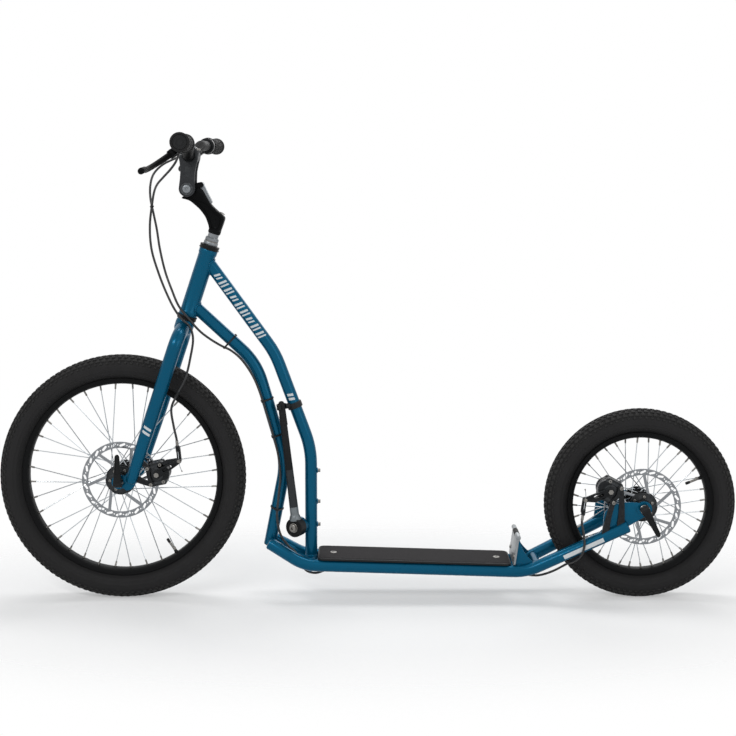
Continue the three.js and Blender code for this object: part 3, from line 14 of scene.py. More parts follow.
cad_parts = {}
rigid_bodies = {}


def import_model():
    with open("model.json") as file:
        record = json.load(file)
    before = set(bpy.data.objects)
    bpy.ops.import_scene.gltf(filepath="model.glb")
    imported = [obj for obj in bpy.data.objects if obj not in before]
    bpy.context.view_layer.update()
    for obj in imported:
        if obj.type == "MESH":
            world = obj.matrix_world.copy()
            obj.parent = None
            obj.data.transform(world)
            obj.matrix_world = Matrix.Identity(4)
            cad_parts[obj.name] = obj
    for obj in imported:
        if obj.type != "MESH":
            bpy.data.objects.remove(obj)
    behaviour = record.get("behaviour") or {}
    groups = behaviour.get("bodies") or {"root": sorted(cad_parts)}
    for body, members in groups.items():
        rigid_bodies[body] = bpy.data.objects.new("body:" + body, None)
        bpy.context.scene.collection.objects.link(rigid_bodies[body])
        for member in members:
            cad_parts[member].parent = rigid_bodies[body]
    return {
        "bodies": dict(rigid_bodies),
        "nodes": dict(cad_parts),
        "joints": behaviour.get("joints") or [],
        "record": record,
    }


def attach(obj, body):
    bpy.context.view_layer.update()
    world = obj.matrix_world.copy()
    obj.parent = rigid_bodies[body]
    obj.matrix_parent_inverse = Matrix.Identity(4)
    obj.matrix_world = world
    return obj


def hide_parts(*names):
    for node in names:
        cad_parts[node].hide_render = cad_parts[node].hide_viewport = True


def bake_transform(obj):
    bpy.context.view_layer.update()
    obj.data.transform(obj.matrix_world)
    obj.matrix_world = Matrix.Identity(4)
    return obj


LOG = logging.getLogger("kick_bike")

# Sizes are in millimetres, as on a drawing; meshes are made in metres.
MM = 0.001
# The distance between two ripples of a weld bead, and the width of a cable tie
RIPPLE = 3.2
TIE_WIDTH = 3.6
# How near to its axis a turned outline ends, so that its cap has no pole
AXIS = 0.02

Part = tuple[list[Vector], list[tuple[int, ...]]]
Spot = tuple[float, float]
Point = tuple[float, float, float]
Outline = list[Spot]


class Body(Enum):
    """The moving bodies that pieces ride on."""

    FRAME = "frame"
    STEERING = "steering"
    BARS = "bars"
    LEFT_LEVER = "left_lever"
    RIGHT_LEVER = "right_lever"
    STEM_LOCK = "stem_lock"
    FRONT_WHEEL = "front_wheel"
    REAR_WHEEL = "rear_wheel"
    FRONT_ARM = "front_arm"
    REAR_ARM = "rear_arm"
    FRONT_PAD = "front_pad"
    REAR_PAD = "rear_pad"
    FRONT_RELEASE = "front_release"
    REAR_RELEASE = "rear_release"
    SIDE_STAND = "side_stand"


class Slot(Enum):
    """The record's material slots."""

    ENAMEL = "blue_enamel"
    BLACK_PAINT = "black_paint"
    BLACK_ALLOY = "black_alloy"
    GREY_ALLOY = "grey_alloy"
    STEEL = "bright_steel"
    TYRE = "tyre_rubber"
    GRIP = "grip_rubber"
    SHEATH = "cable_sheath"
    DECK = "deck_grip"
    PAD = "pad_compound"


class Relief(Enum):
    """The fine surface that a finish shows."""

    PLAIN = "plain"
    ORANGE_PEEL = "orange_peel"
    TURNED = "turned"
    BRUSHED = "brushed"
    GRAINED = "grained"
    GRIT = "grit"


# Materials


def linear(code: str) -> tuple[float, float, float, float]:
    """Turns an sRGB hex colour to linear.

    Args:
        code: six hex digits.

    Returns:
        Red, green, blue and an alpha of 1.
    """
    channels = [int(code[i:i + 2], 16) / 255 for i in (0, 2, 4)]
    toned = [c / 12.92 if c <= 0.04045 else ((c + 0.055) / 1.055) ** 2.4 for c in channels]
    return (toned[0], toned[1], toned[2], 1.0)


def add_node(
    tree: bpy.types.NodeTree,
    kind: str,
    settings: Optional[dict[str, object]] = None,
    inputs: Optional[dict[Union[str, int], object]] = None,
) -> bpy.types.Node:
    """Adds a node with its settings and links.

    Args:
        tree: the node tree that takes it.
        kind: the node's type name.
        settings: its properties.
        inputs: a value or an output socket for each named or numbered input.

    Returns:
        The new node.
    """
    node = tree.nodes.new(kind)
    for name, value in (settings or {}).items():
        setattr(node, name, value)
    for name, value in (inputs or {}).items():
        socket = node.inputs[name]
        if isinstance(value, bpy.types.NodeSocket):
            tree.links.new(value, socket)
        else:
            socket.default_value = value
    return node


@dataclass(frozen=True)
class Finish:
    """A real material with its surface.

    Patch is the size of its slow colour changes and grain that of its fine relief, in millimetres.
    """

    name: str
    color: str
    second: str
    roughness: float
    spread: float = 0.06
    metallic: float = 0.0
    coat: float = 0.0
    coat_roughness: float = 0.05
    ior: float = 1.5
    specular: float = 0.5
    patch: float = 60.0
    grain: float = 1.5
    depth: float = 0.02
    relief: Relief = Relief.PLAIN
    stretch: Point = (0.04, 1.0, 1.0)
    centre: Point = (0.0, 0.0, 0.0)
    # How far sharp edges are lightened: rubbed paint on the coated finishes, a painted highlight on the
    # tyre's tread blocks.
    edge_lightening: float = 0.0
    edge_color: str = "9aa6ad"

    def material(self) -> bpy.types.Material:
        """Returns the finish's material, making it the first time."""
        known = bpy.data.materials.get(self.name)
        return known if known is not None else self.build()

    def build(self) -> bpy.types.Material:
        """Makes the node tree.

        Returns:
            The new material.
        """
        material = bpy.data.materials.new(self.name)
        material.use_nodes = True
        tree = material.node_tree
        tree.nodes.clear()
        place = add_node(tree, "ShaderNodeTexCoord").outputs["Object"]
        patches = add_node(tree, "ShaderNodeTexNoise", inputs={
            "Vector": place, "Scale": 1 / (self.patch * MM), "Detail": 4.0, "Roughness": 0.6})
        tint = add_node(tree, "ShaderNodeMix", {"data_type": "RGBA"}, {
            0: patches.outputs["Fac"], 6: linear(self.color), 7: linear(self.second)}).outputs[2]
        if self.edge_lightening > 0:
            tint = self.worn(tree, tint, place)
        rough = add_node(tree, "ShaderNodeMapRange", inputs={
            "Value": patches.outputs["Fac"], "From Min": 0.3, "From Max": 0.7,
            "To Min": max(self.roughness - self.spread, 0.02), "To Max": self.roughness + self.spread})
        shader = add_node(tree, "ShaderNodeBsdfPrincipled", inputs={
            "Base Color": tint, "Roughness": rough.outputs["Result"], "Metallic": self.metallic,
            "Coat Weight": self.coat, "Coat Roughness": self.coat_roughness})
        if self.metallic < 1:
            shader.inputs["IOR"].default_value = self.ior
            shader.inputs["Specular IOR Level"].default_value = self.specular
        normal = self.normal(tree, place)
        tree.links.new(normal, shader.inputs["Normal"])
        add_node(tree, "ShaderNodeOutputMaterial", inputs={"Surface": shader.outputs["BSDF"]})
        return material

    def worn(
        self, tree: bpy.types.NodeTree, tint: bpy.types.NodeSocket, place: bpy.types.NodeSocket
    ) -> bpy.types.NodeSocket:
        """Lightens the colour along sharp edges: where a coat is rubbed thin on the painted and anodised
        finishes, and as a painted highlight along the tyre's tread blocks.

        Args:
            tree: the material's tree.
            tint: the colour so far.
            place: object coordinates.

        Returns:
            The colour with its edges.
        """
        points = add_node(tree, "ShaderNodeNewGeometry").outputs["Pointiness"]
        edge = add_node(tree, "ShaderNodeMapRange", inputs={
            "Value": points, "From Min": 0.52, "From Max": 0.6, "To Min": 0.0, "To Max": self.edge_lightening})
        speck = add_node(tree, "ShaderNodeTexNoise", inputs={
            "Vector": place, "Scale": 1 / (4 * MM), "Detail": 3.0})
        share = add_node(tree, "ShaderNodeMath", {"operation": "MULTIPLY"}, {
            0: edge.outputs["Result"], 1: speck.outputs["Fac"]})
        return add_node(tree, "ShaderNodeMix", {"data_type": "RGBA"}, {
            0: share.outputs[0], 6: tint, 7: linear(self.edge_color)}).outputs[2]

    def normal(
        self, tree: bpy.types.NodeTree, place: bpy.types.NodeSocket
    ) -> bpy.types.NodeSocket:
        """Makes the fine relief.

        Args:
            tree: the material's tree.
            place: object coordinates.

        Returns:
            The bumped normal.
        """
        scale = 1 / (self.grain * MM)
        if self.relief is Relief.BRUSHED:
            stretched = add_node(tree, "ShaderNodeMapping", inputs={
                "Vector": place, "Scale": tuple(scale * s for s in self.stretch)}).outputs["Vector"]
            height = add_node(tree, "ShaderNodeTexNoise", inputs={
                "Vector": stretched, "Scale": 1.0, "Detail": 2.0}).outputs["Fac"]
        elif self.relief is Relief.TURNED:
            hub = tuple(c * MM for c in self.centre)
            away = add_node(tree, "ShaderNodeVectorMath", {"operation": "DISTANCE"}, {
                0: place, 1: hub}).outputs["Value"]
            height = add_node(tree, "ShaderNodeTexNoise", {"noise_dimensions": "1D"}, {
                "W": away, "Scale": scale, "Detail": 2.0}).outputs["Fac"]
        elif self.relief is Relief.GRIT:
            grains = add_node(tree, "ShaderNodeTexVoronoi", inputs={"Vector": place, "Scale": scale})
            height = grains.outputs["Distance"]
        elif self.relief is Relief.GRAINED:
            grains = add_node(tree, "ShaderNodeTexVoronoi", {"feature": "SMOOTH_F1"}, {
                "Vector": place, "Scale": scale, "Smoothness": 0.6})
            height = grains.outputs["Distance"]
        else:
            height = add_node(tree, "ShaderNodeTexNoise", inputs={
                "Vector": place, "Scale": scale, "Detail": 2.0}).outputs["Fac"]
        return add_node(tree, "ShaderNodeBump", inputs={
            "Height": height, "Strength": 1.0, "Distance": self.depth * MM}).outputs["Normal"]


# Powder coat, baked: deep petrol blue under a clear gloss, with the slight waves of a sprayed film.
ENAMEL = Finish(
    "blue_powder_coat", "005a7b", "004c68", 0.27, 0.03, metallic=0.4, coat=0.12,
    coat_roughness=0.04, specular=0.06, patch=220, grain=3.0, depth=0.012, relief=Relief.ORANGE_PEEL)
# Satin black paint on steel and alloy: soft broad highlights, a little paler where it is rubbed.
SATIN = Finish(
    "satin_black_paint", "101112", "0c0d0e", 0.42, 0.06, specular=0.15,
    patch=40, grain=0.8, depth=0.01, relief=Relief.ORANGE_PEEL, edge_lightening=0.35, edge_color="4a4d50")
# Matt black paint on the forged neck, the bar and the levers: the deepest black above the frame.
FORGING_BLACK = Finish(
    "matt_black_forging_paint", "0c0c0d", "090a0a", 0.52, 0.06, specular=0.05,
    patch=40, grain=0.9, depth=0.012, relief=Relief.ORANGE_PEEL, edge_lightening=0.3, edge_color="4a4d50")
# The stand's rod: black paint gone grey where a foot pushes it down.
RUBBED = Finish(
    "foot_worn_black_paint", "15171a", "2a2d2f", 0.38, 0.08, metallic=0.2, specular=0.3, patch=22,
    grain=0.7, depth=0.02, relief=Relief.GRAINED, edge_lightening=0.5, edge_color="7d8488")
# The same rod by its hinge, where the paint has gone: bare grey steel.
BARE = replace(
    RUBBED, name="foot_worn_bare_steel", color="63686b", second="7e8487", metallic=0.6)
# Black anodised aluminium: darker than paint, with a metal's tight sheen.
ANODISED = Finish(
    "black_anodised_aluminium", "151618", "111214", 0.36, 0.05, metallic=0.3, specular=0.12, patch=30,
    grain=0.5, depth=0.006, relief=Relief.GRAINED, edge_lightening=0.5, edge_color="85898c")
# Grey-black hard anodising on the stem's arm: paler than the neck's paint, with a dull metal sheen.
HARD_ANODISED = replace(
    ANODISED, name="hard_anodised_aluminium", color="303133", second="27282a", roughness=0.44)
# Bead-blasted aluminium: pale grey and even, with a fine sparkle.
BLASTED = Finish(
    "bead_blasted_aluminium", "85898c", "74787c", 0.38, 0.06, metallic=1.0, patch=25, grain=0.5,
    depth=0.015, relief=Relief.GRIT)
# Rolled aluminium sheet: straight fine lines along the sheet.
SHEET = Finish(
    "rolled_aluminium_sheet", "95999b", "84888b", 0.4, 0.08, metallic=0.85, patch=30, grain=0.6,
    depth=0.012, relief=Relief.BRUSHED, stretch=(1.0, 0.04, 1.0))
# Ground stainless steel: bright, with the rings that a grinding wheel leaves on a turning disc.
FRONT_STAINLESS = Finish(
    "front_ground_stainless_steel", "8b8e91", "787b7f", 0.27, 0.07, metallic=1.0, patch=18, grain=0.6,
    depth=0.01, relief=Relief.TURNED, centre=(-513.0, 0.0, 257.0))
REAR_STAINLESS = replace(FRONT_STAINLESS, name="rear_ground_stainless_steel", centre=(570.0, 0.0, 200.0))
# Stove-enamelled rims: a smooth, dull black, as deep as the forgings' paint.
RIM_BLACK = Finish(
    "stoved_rim_enamel", "0b0b0c", "08090a", 0.5, 0.05, specular=0.1, patch=60, grain=1.4, depth=0.008,
    relief=Relief.ORANGE_PEEL)
# Drawn stainless wire: a smooth bright line along each spoke.
WIRE = Finish(
    "drawn_stainless_wire", "c0c4c7", "aab0b4", 0.22, 0.04, metallic=1.0, patch=50, grain=1.0, depth=0.002)
# Zinc-plated fasteners: silvery with a faint warm cast and small stains.
ZINC = Finish(
    "zinc_plated_steel", "8c8a86", "706e6b", 0.3, 0.08, metallic=1.0, patch=6, grain=0.4, depth=0.01,
    relief=Relief.GRAINED)
# Vulcanised tyre rubber: charcoal and dry, in slightly uneven patches; lighter along sharp edges such as
# the tread blocks', a painted highlight that makes the blocks show.
TYRE = Finish(
    "vulcanised_tyre_rubber", "1b1b1c", "252424", 0.72, 0.08, ior=1.52, specular=0.2, patch=28, grain=0.9,
    depth=0.06, relief=Relief.GRAINED, edge_lightening=0.3, edge_color="4b4a47")
# Moulded soft rubber of grips and feet: nearly black and matt.
SOFT_RUBBER = Finish(
    "moulded_soft_rubber", "121213", "1a1a1a", 0.66, 0.07, ior=1.52, specular=0.2, patch=15, grain=0.7,
    depth=0.04, relief=Relief.GRAINED)
# Abrasive deck sheet: dark grey with bright mineral specks, drawn coarser than real grit to show.
GRIT = Finish(
    "abrasive_deck_sheet", "262526", "363435", 0.9, 0.05, specular=0.15, patch=4, grain=1.3, depth=0.35,
    relief=Relief.GRIT)
# Moulded ABS: the board's edge and small caps, smooth with a low sheen.
ABS = Finish(
    "moulded_black_abs", "18191a", "1f2021", 0.45, 0.05, specular=0.2, patch=20, grain=0.8, depth=0.01,
    relief=Relief.GRAINED)
# Screen-printed marks: an even off-white film over the enamel.
PRINT = Finish(
    "screen_printed_white", "dfe3e4", "d3d8da", 0.45, 0.04, specular=0.3, patch=12, grain=0.9, depth=0.004)
# Extruded cable sheath: glossy black plastic.
SHEATH = Finish("extruded_cable_sheath", "121315", "1a1b1d", 0.3, 0.05, patch=30, grain=2.0, depth=0.008)
# Sintered brake pad: a rough brown-grey.
COMPOUND = Finish(
    "sintered_pad_compound", "4a4038", "5b5048", 0.9, 0.05, specular=0.3, patch=3, grain=0.6, depth=0.1,
    relief=Relief.GRIT)

Dressed = list[tuple[Part, Finish]]


# Outlines and meshes


def shift(x: float, y: float, z: float) -> Matrix:
    """A move without a turn."""
    return Matrix.Translation((x, y, z))


def about_y(radius: float, angle: float, along: float = 0.0) -> Vector:
    """A place at a radius and an angle about the Y axis."""
    return Vector((radius * math.cos(angle), along, radius * math.sin(angle)))


def side_view(place: Vector) -> Spot:
    """A place as it is seen from the side."""
    return place.x, place.z


def shares(steps: int) -> list[float]:
    """Even steps from 0 to 1."""
    return [k / steps for k in range(steps + 1)]


def arc(centre: Spot, radius: float, start: float, turn: float, steps: int) -> Outline:
    """Places on an arc.

    Args:
        centre: its centre.
        radius: its radius.
        start: the angle of its first place.
        turn: how far it goes round.
        steps: how many steps it takes.

    Returns:
        The places, one more than the steps.
    """
    angles = [start + turn * k / steps for k in range(steps + 1)]
    return [(centre[0] + radius * math.cos(a), centre[1] + radius * math.sin(a)) for a in angles]


def circle(centre: Spot, radius: float, count: int = 24) -> Outline:
    """Places round a circle."""
    return arc(centre, radius, 0.0, 2 * math.pi, count)[:-1]


def slot_outline(a: Spot, b: Spot, ra: float, rb: Optional[float] = None, steps: int = 12) -> Outline:
    """A bar with round ends.

    Args:
        a: the first end's centre.
        b: the second end's centre.
        ra: the first end's radius.
        rb: the second end's radius, or None for the same.
        steps: how many steps round each end.

    Returns:
        The outline.
    """
    along = math.atan2(b[1] - a[1], b[0] - a[0])
    return (arc(a, ra, along + math.pi / 2, math.pi, steps)
            + arc(b, ra if rb is None else rb, along - math.pi / 2, math.pi, steps))


def rounding(start: Vector, corner: Vector, end: Vector, steps: int) -> list[Vector]:
    """Places on the curve from start to end that a corner pulls towards itself."""
    return [start * (1 - t) ** 2 + corner * 2 * t * (1 - t) + end * t * t for t in shares(steps)]


def eased(corners: Sequence[Spot], radius: float, steps: int = 5) -> Outline:
    """Rounds each corner of an outline.

    Args:
        corners: its corners.
        radius: the rounding, held to half of the shorter side.
        steps: steps in each corner.

    Returns:
        The rounded outline.
    """
    places = []
    for k, corner in enumerate(corners):
        here = Vector(corner)
        before = Vector(corners[k - 1]) - here
        after = Vector(corners[(k + 1) % len(corners)]) - here
        back = min(radius, before.length / 2, after.length / 2)
        start, end = here + before.normalized() * back, here + after.normalized() * back
        places += [(spot.x, spot.y) for spot in rounding(start, here, end, steps)]
    return places


def smooth_path(corners: Sequence[Sequence[float]], steps: int = 8) -> list[Vector]:
    """A centripetal spline through places.

    Args:
        corners: the places, in order.
        steps: steps between two places.

    Returns:
        The places along it.
    """
    given = [Vector(c) for c in corners]
    knots = [given[0] * 2 - given[1], *given, given[-1] * 2 - given[-2]]
    path = [given[0].copy()]
    for k in range(1, len(knots) - 2):
        four = knots[k - 1:k + 3]
        times = [0.0]
        for a, b in zip(four, four[1:]):
            times.append(times[-1] + max((b - a).length, 1e-6) ** 0.5)
        for i in range(1, steps + 1):
            t = times[1] + (times[2] - times[1]) * i / steps
            path.append(spline_place(four, times, t))
    return path


def spline_place(four: Sequence[Vector], times: Sequence[float], t: float) -> Vector:
    """One place on the spline, by blending the lines between its four knots.

    Args:
        four: the knots.
        times: their times.
        t: the wanted time.

    Returns:
        The place.
    """
    level = list(four)
    for spans in (((0, 1), (1, 2), (2, 3)), ((0, 2), (1, 3)), ((1, 2),)):
        blended = []
        for i, (low, high) in enumerate(spans):
            share = (t - times[low]) / (times[high] - times[low])
            blended.append(level[i].lerp(level[i + 1], share))
        level = blended
    return level[0]


def bent_path(
    corners: Sequence[Vector], bends: Sequence[float], step: float = math.radians(4)
) -> list[Vector]:
    """A tube's middle line: straight runs with an arc at each corner.

    Args:
        corners: the places where the straight runs would meet.
        bends: the bend radius at each inner corner.
        step: the turn between two places on an arc.

    Returns:
        The places along it.
    """
    path = [corners[0].copy()]
    for k in range(1, len(corners) - 1):
        inward = (corners[k - 1] - corners[k]).normalized()
        outward = (corners[k + 1] - corners[k]).normalized()
        turn = math.pi - inward.angle(outward)
        radius = bends[k - 1]
        start = corners[k] + inward * radius * math.tan(turn / 2)
        centre = corners[k] + (inward + outward).normalized() * radius / math.cos(turn / 2)
        axis = outward.cross(inward).normalized()
        steps = max(3, math.ceil(turn / step))
        for i in range(steps + 1):
            path.append(Matrix.Rotation(turn * i / steps, 3, axis) @ (start - centre) + centre)
    path.append(corners[-1].copy())
    return path


def skin(rows: int, across: int, looped: bool, rounded: bool = True) -> list[tuple[int, ...]]:
    """Four-sided faces between rows of places.

    Args:
        rows: how many rows.
        across: how many places in each.
        looped: whether the last row joins the first.
        rounded: whether each row closes on itself.

    Returns:
        The faces.
    """
    faces = []
    for row in range(rows if looped else rows - 1):
        here, there = row * across, (row + 1) % rows * across
        for i in range(across if rounded else across - 1):
            j = (i + 1) % across
            faces.append((here + i, here + j, there + j, there + i))
    return faces


def sweep(
    path: Sequence[Vector],
    radii: Union[float, Sequence[float]],
    sides: int = 28,
    closed: bool = False,
    flatten: Spot = (1.0, 1.0),
    level: Optional[Vector] = None,
) -> Part:
    """A round or oval tube along a path, with its ends filled.

    Args:
        path: the places of its middle line.
        radii: one radius, or one for each place.
        sides: how many sides.
        closed: whether the last place joins the first.
        flatten: how far the section reaches along its own two directions.
        level: a direction that the section's first direction keeps to.

    Returns:
        The part.
    """
    count = len(path)
    sizes = [radii] * count if isinstance(radii, (int, float)) else radii
    tangents = []
    for k in range(count):
        before = path[k - 1] if k > 0 or closed else path[0]
        after = path[(k + 1) % count] if k < count - 1 or closed else path[-1]
        tangents.append((after - before).normalized())
    side = level or (Vector((0, 1, 0)) if abs(tangents[0].y) < 0.9 else Vector((1, 0, 0)))
    verts: list[Vector] = []
    for place, tangent, size in zip(path, tangents, sizes):
        side = ((level or side) - tangent * tangent.dot(level or side)).normalized()
        other = tangent.cross(side)
        for i in range(sides):
            angle = 2 * math.pi * i / sides
            verts.append(place + side * math.cos(angle) * size * flatten[0]
                         + other * math.sin(angle) * size * flatten[1])
    faces = skin(count, sides, closed)
    if not closed:
        faces += [tuple(range(sides - 1, -1, -1)), tuple(range((count - 1) * sides, count * sides))]
    return verts, faces


def rod(a: Vector, b: Vector, radius: float, sides: int = 24, ease: float = 0.0) -> Part:
    """A round bar between two places.

    Args:
        a: its first end.
        b: its second end.
        radius: its radius.
        sides: how many sides.
        ease: the size of the chamfer at each end.

    Returns:
        The part.
    """
    if ease <= 0:
        return sweep([a, b], radius, sides)
    along = (b - a).normalized()
    places = [a, a + along * ease * 0.3, a + along * ease, b - along * ease, b - along * ease * 0.3, b]
    sizes = [radius - ease, radius - ease * 0.3, radius]
    return sweep(places, sizes + sizes[::-1], sides)


def lathe(profile: Sequence[Spot], place: Matrix, sides: int = 64) -> Part:
    """A turned body about its own Y axis, of a profile that closes on itself.

    Args:
        profile: radius and distance along the axis, in order.
        place: where it goes.
        sides: how many sides.

    Returns:
        The part.
    """
    verts = [place @ about_y(radius, 2 * math.pi * i / sides, along)
             for i in range(sides) for radius, along in profile]
    return verts, skin(sides, len(profile), looped=True)


def even(half: Sequence[Spot]) -> list[Spot]:
    """A profile with the same form on both sides, from its first half."""
    return [*half, *[(radius, -along) for radius, along in half[::-1]]]


def plate(
    outline: Outline, holes: Sequence[Outline], thickness: float, place: Matrix, bevel: float = 0.5
) -> Part:
    """A flat plate with holes and eased edges; its sides are X and Z of its place and Y its thickness.

    Args:
        outline: its edge.
        holes: the edges of its holes.
        thickness: its thickness, half to each side.
        place: where it goes.
        bevel: the size of the eased edge.

    Returns:
        The part.
    """
    curve = bpy.data.curves.new("plate", "CURVE")
    curve.dimensions = "2D"
    curve.fill_mode = "BOTH"
    curve.extrude = (thickness / 2 - bevel) * MM
    curve.bevel_depth = bevel * MM
    curve.bevel_resolution = 1
    curve.offset = -bevel * MM
    for loop in (outline, *holes):
        line = curve.splines.new("POLY")
        line.points.add(len(loop) - 1)
        line.use_cyclic_u = True
        for point, (u, v) in zip(line.points, loop):
            point.co = (u * MM, v * MM, 0, 1)
    holder = bpy.data.objects.new("plate", curve)
    bpy.context.scene.collection.objects.link(holder)
    seen = holder.evaluated_get(bpy.context.evaluated_depsgraph_get())
    mesh = seen.to_mesh()
    stood = place @ Matrix(((1, 0, 0, 0), (0, 0, -1, 0), (0, 1, 0, 0), (0, 0, 0, 1)))
    verts = [stood @ (v.co / MM) for v in mesh.vertices]
    faces = [tuple(p.vertices) for p in mesh.polygons]
    seen.to_mesh_clear()
    bpy.data.objects.remove(holder)
    bpy.data.curves.remove(curve)
    return verts, faces


def joined(parts: Sequence[Part]) -> Part:
    """Several parts as one.

    Args:
        parts: the parts.

    Returns:
        The one part, with their faces numbered on.
    """
    verts: list[Vector] = []
    faces: list[tuple[int, ...]] = []
    for some, their in parts:
        start = len(verts)
        verts.extend(some)
        faces.extend(tuple(i + start for i in face) for face in their)
    return verts, faces


def moved(part: Part, place: Matrix) -> Part:
    """A part carried by a matrix."""
    return [place @ v for v in part[0]], part[1]


def mirrored(part: Part) -> Part:
    """A part seen in the bike's middle plane."""
    return [Vector((v.x, -v.y, v.z)) for v in part[0]], [face[::-1] for face in part[1]]


def piece(
    name: str,
    parts: Dressed,
    body: Optional[Body],
    stands_for: Sequence[str] = (),
    sharp: float = math.radians(35),
) -> bpy.types.Object:
    """body: the body that it rides on, or None where it spans two and is left unattached.
        stands_for: the solids that it stands for.
        sharp: edges over this angle stay sharp.

    Returns:
        The object.
    """
    mesh = bpy.data.meshes.new(name)
    verts, faces = joined([part for part, _ in parts])
    mesh.from_pydata([v * MM for v in verts], [], faces)
    finishes = list(dict.fromkeys(finish for _, finish in parts))
    for finish in finishes:
        mesh.materials.append(finish.material())
    at = 0
    for part, finish in parts:
        index = finishes.index(finish)
        for polygon in mesh.polygons[at:at + len(part[1])]:
            polygon.material_index = index
        at += len(part[1])
    tidy(mesh, sharp)
    made = bpy.data.objects.new(name, mesh)
    bpy.context.scene.collection.objects.link(made)
    if body is not None:
        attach(made, body.value)
    if stands_for:
        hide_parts(*stands_for)
    LOG.info("%s: %d faces", name, len(mesh.polygons))
    return made


def pair(
    name: str, parts: Dressed, node: str, left: Body = Body.FRAME, right: Body = Body.FRAME
) -> None:
    """Makes a left piece and its twin in the bike's middle plane.

    Args:
        name: their name without its side.
        parts: the left one's parts with their finishes.
        node: the solids' name without its side.
        left: the body that the left one rides on.
        right: the body that the right one rides on.
    """
    piece(f"left_{name}", parts, left, [f"left_{node}"])
    twin = [(mirrored(part), finish) for part, finish in parts]
    piece(f"right_{name}", twin, right, [f"right_{node}"])


def tidy(mesh: bpy.types.Mesh, sharp: float) -> None:
    """Joins doubled places, turns the faces out and smooths what isn't sharp.

    Args:
        mesh: the mesh.
        sharp: edges over this angle stay sharp.
    """
    work = bmesh.new()
    work.from_mesh(mesh)
    bmesh.ops.remove_doubles(work, verts=work.verts, dist=0.002 * MM)
    bmesh.ops.dissolve_degenerate(work, edges=work.edges, dist=0.001 * MM)
    bmesh.ops.recalc_face_normals(work, faces=work.faces)
    work.to_mesh(mesh)
    work.free()
    mesh.shade_smooth()
    mesh.set_sharp_from_angle(angle=sharp)


def facing(origin: Vector, along: Vector) -> Matrix:
    """A place whose Y axis points along a direction, for turned bodies."""
    turn = Vector((0, 1, 0)).rotation_difference(along)
    return Matrix.Translation(origin) @ turn.to_matrix().to_4x4()


def nut(origin: Vector, along: Vector, radius: float, height: float, bore: float = 0.0) -> Part:
    """A hexagon nut or bolt head with its corners turned off.

    Args:
        origin: the middle of its foot.
        along: the way in which it stands.
        radius: across its corners, halved.
        height: its height.
        bore: the radius of a dimple or hole, or 0 for none.

    Returns:
        The part.
    """
    low, high = radius * 0.9, radius * 0.88
    body = [(bore, 0), (low, 0), (radius, height * 0.14), (radius, height * 0.82), (high, height)]
    mouth = [(bore * 1.15, height), (bore, height * 0.8)] if bore > 0 else [(0.01, height)]
    return lathe(body + mouth, facing(origin, along), 6)


def socket_screw(origin: Vector, along: Vector, radius: float, height: float, domed: bool = False) -> Part:
    """A round screw head with a hexagon socket.

    Args:
        origin: the middle of its foot.
        along: the way in which it stands.
        radius: its radius.
        height: its height.
        domed: whether it is a low button head.

    Returns:
        The part.
    """
    mouth, floor = radius * 0.48, height * (0.35 if domed else 0.3)
    edge = ([(radius, height * 0.25), (radius * 0.86, height * 0.72), (radius * 0.62, height)] if domed
            else [(radius, height * 0.86), (radius * 0.9, height)])
    outline = [(AXIS, 0), (radius, 0), *edge, (mouth, height), (mouth, floor), (AXIS, floor)]
    place = facing(origin, along)
    sides, count = 24, len(outline)
    verts, faces = lathe(outline, place, sides)
    for i in range(sides):
        angle = 2 * math.pi * i / sides
        flat = math.cos(math.pi / 6) / math.cos((angle % (math.pi / 3)) - math.pi / 6)
        for k in (count - 3, count - 2):
            verts[i * count + k] = place @ about_y(mouth * flat, angle, outline[k][1])
    return verts, faces


def slide(start: Vector, along: Vector, main: Vector, axis: Vector, reach: float) -> Vector:
    """Moves a place along a direction to the far side of a round tube's surface.

    Args:
        start: the place.
        along: the direction.
        main: a place on the tube's middle line.
        axis: the tube's direction.
        reach: the tube's radius.

    Returns:
        The place on the surface.
    """
    off = start - main
    off -= axis * off.dot(axis)
    run = along - axis * along.dot(axis)
    a, b, c = run.dot(run), 2 * off.dot(run), off.dot(off) - reach * reach
    root = math.sqrt(max(b * b - 4 * a * c, 0.0))
    return start + along * ((-b + root) / (2 * a))


def saddle(
    foot: Vector, along: Vector, radius: float, main: Vector, axis: Vector, reach: float, count: int = 48
) -> list[Vector]:
    """The closed line where a tube meets a thicker one.

    Args:
        foot: a place on the tube's middle line.
        along: the way from the main tube out along the tube.
        radius: the tube's radius.
        main: a place on the main tube's middle line.
        axis: the main tube's direction.
        reach: the main tube's radius.
        count: how many places.

    Returns:
        The line, in order.
    """
    side = axis.cross(along).normalized()
    other = along.cross(side).normalized()
    line = []
    for k in range(count):
        angle = 2 * math.pi * k / count
        start = foot + (side * math.cos(angle) + other * math.sin(angle)) * radius
        line.append(slide(start, along, main, axis, reach))
    return line


def weld(line: Sequence[Vector], size: float) -> Part:
    """A weld bead along a closed line, with the ripples of its pool.

    Args:
        line: the join.
        size: the bead's radius.

    Returns:
        The part.
    """
    count = len(line)
    length = sum((line[k] - line[k - 1]).length for k in range(count))
    steps = max(8, round(length / RIPPLE)) * 5
    places, sizes = [], []
    for i in range(steps):
        at = i * count / steps
        k = int(at)
        places.append(line[k].lerp(line[(k + 1) % count], at - k))
        sizes.append(size * (0.82 + 0.22 * abs(math.sin(math.pi * i / 5))))
    return sweep(places, sizes, 10, closed=True)


def open_weld(line: Sequence[Vector]) -> Part:
    """A weld bead with two ends.

    Args:
        line: the join.

    Returns:
        The part.
    """
    steps = (len(line) - 1) * 5
    places, sizes = [], []
    for i in range(steps + 1):
        at = min(i / 5, len(line) - 1.001)
        k = int(at)
        places.append(line[k].lerp(line[k + 1], at - k))
        edge = min(1.0, i / 4 + 0.3, (steps - i) / 4 + 0.3)
        sizes.append(1.5 * edge * (0.8 + 0.25 * abs(math.sin(math.pi * i / 9))))
    return sweep(places, sizes, 10)


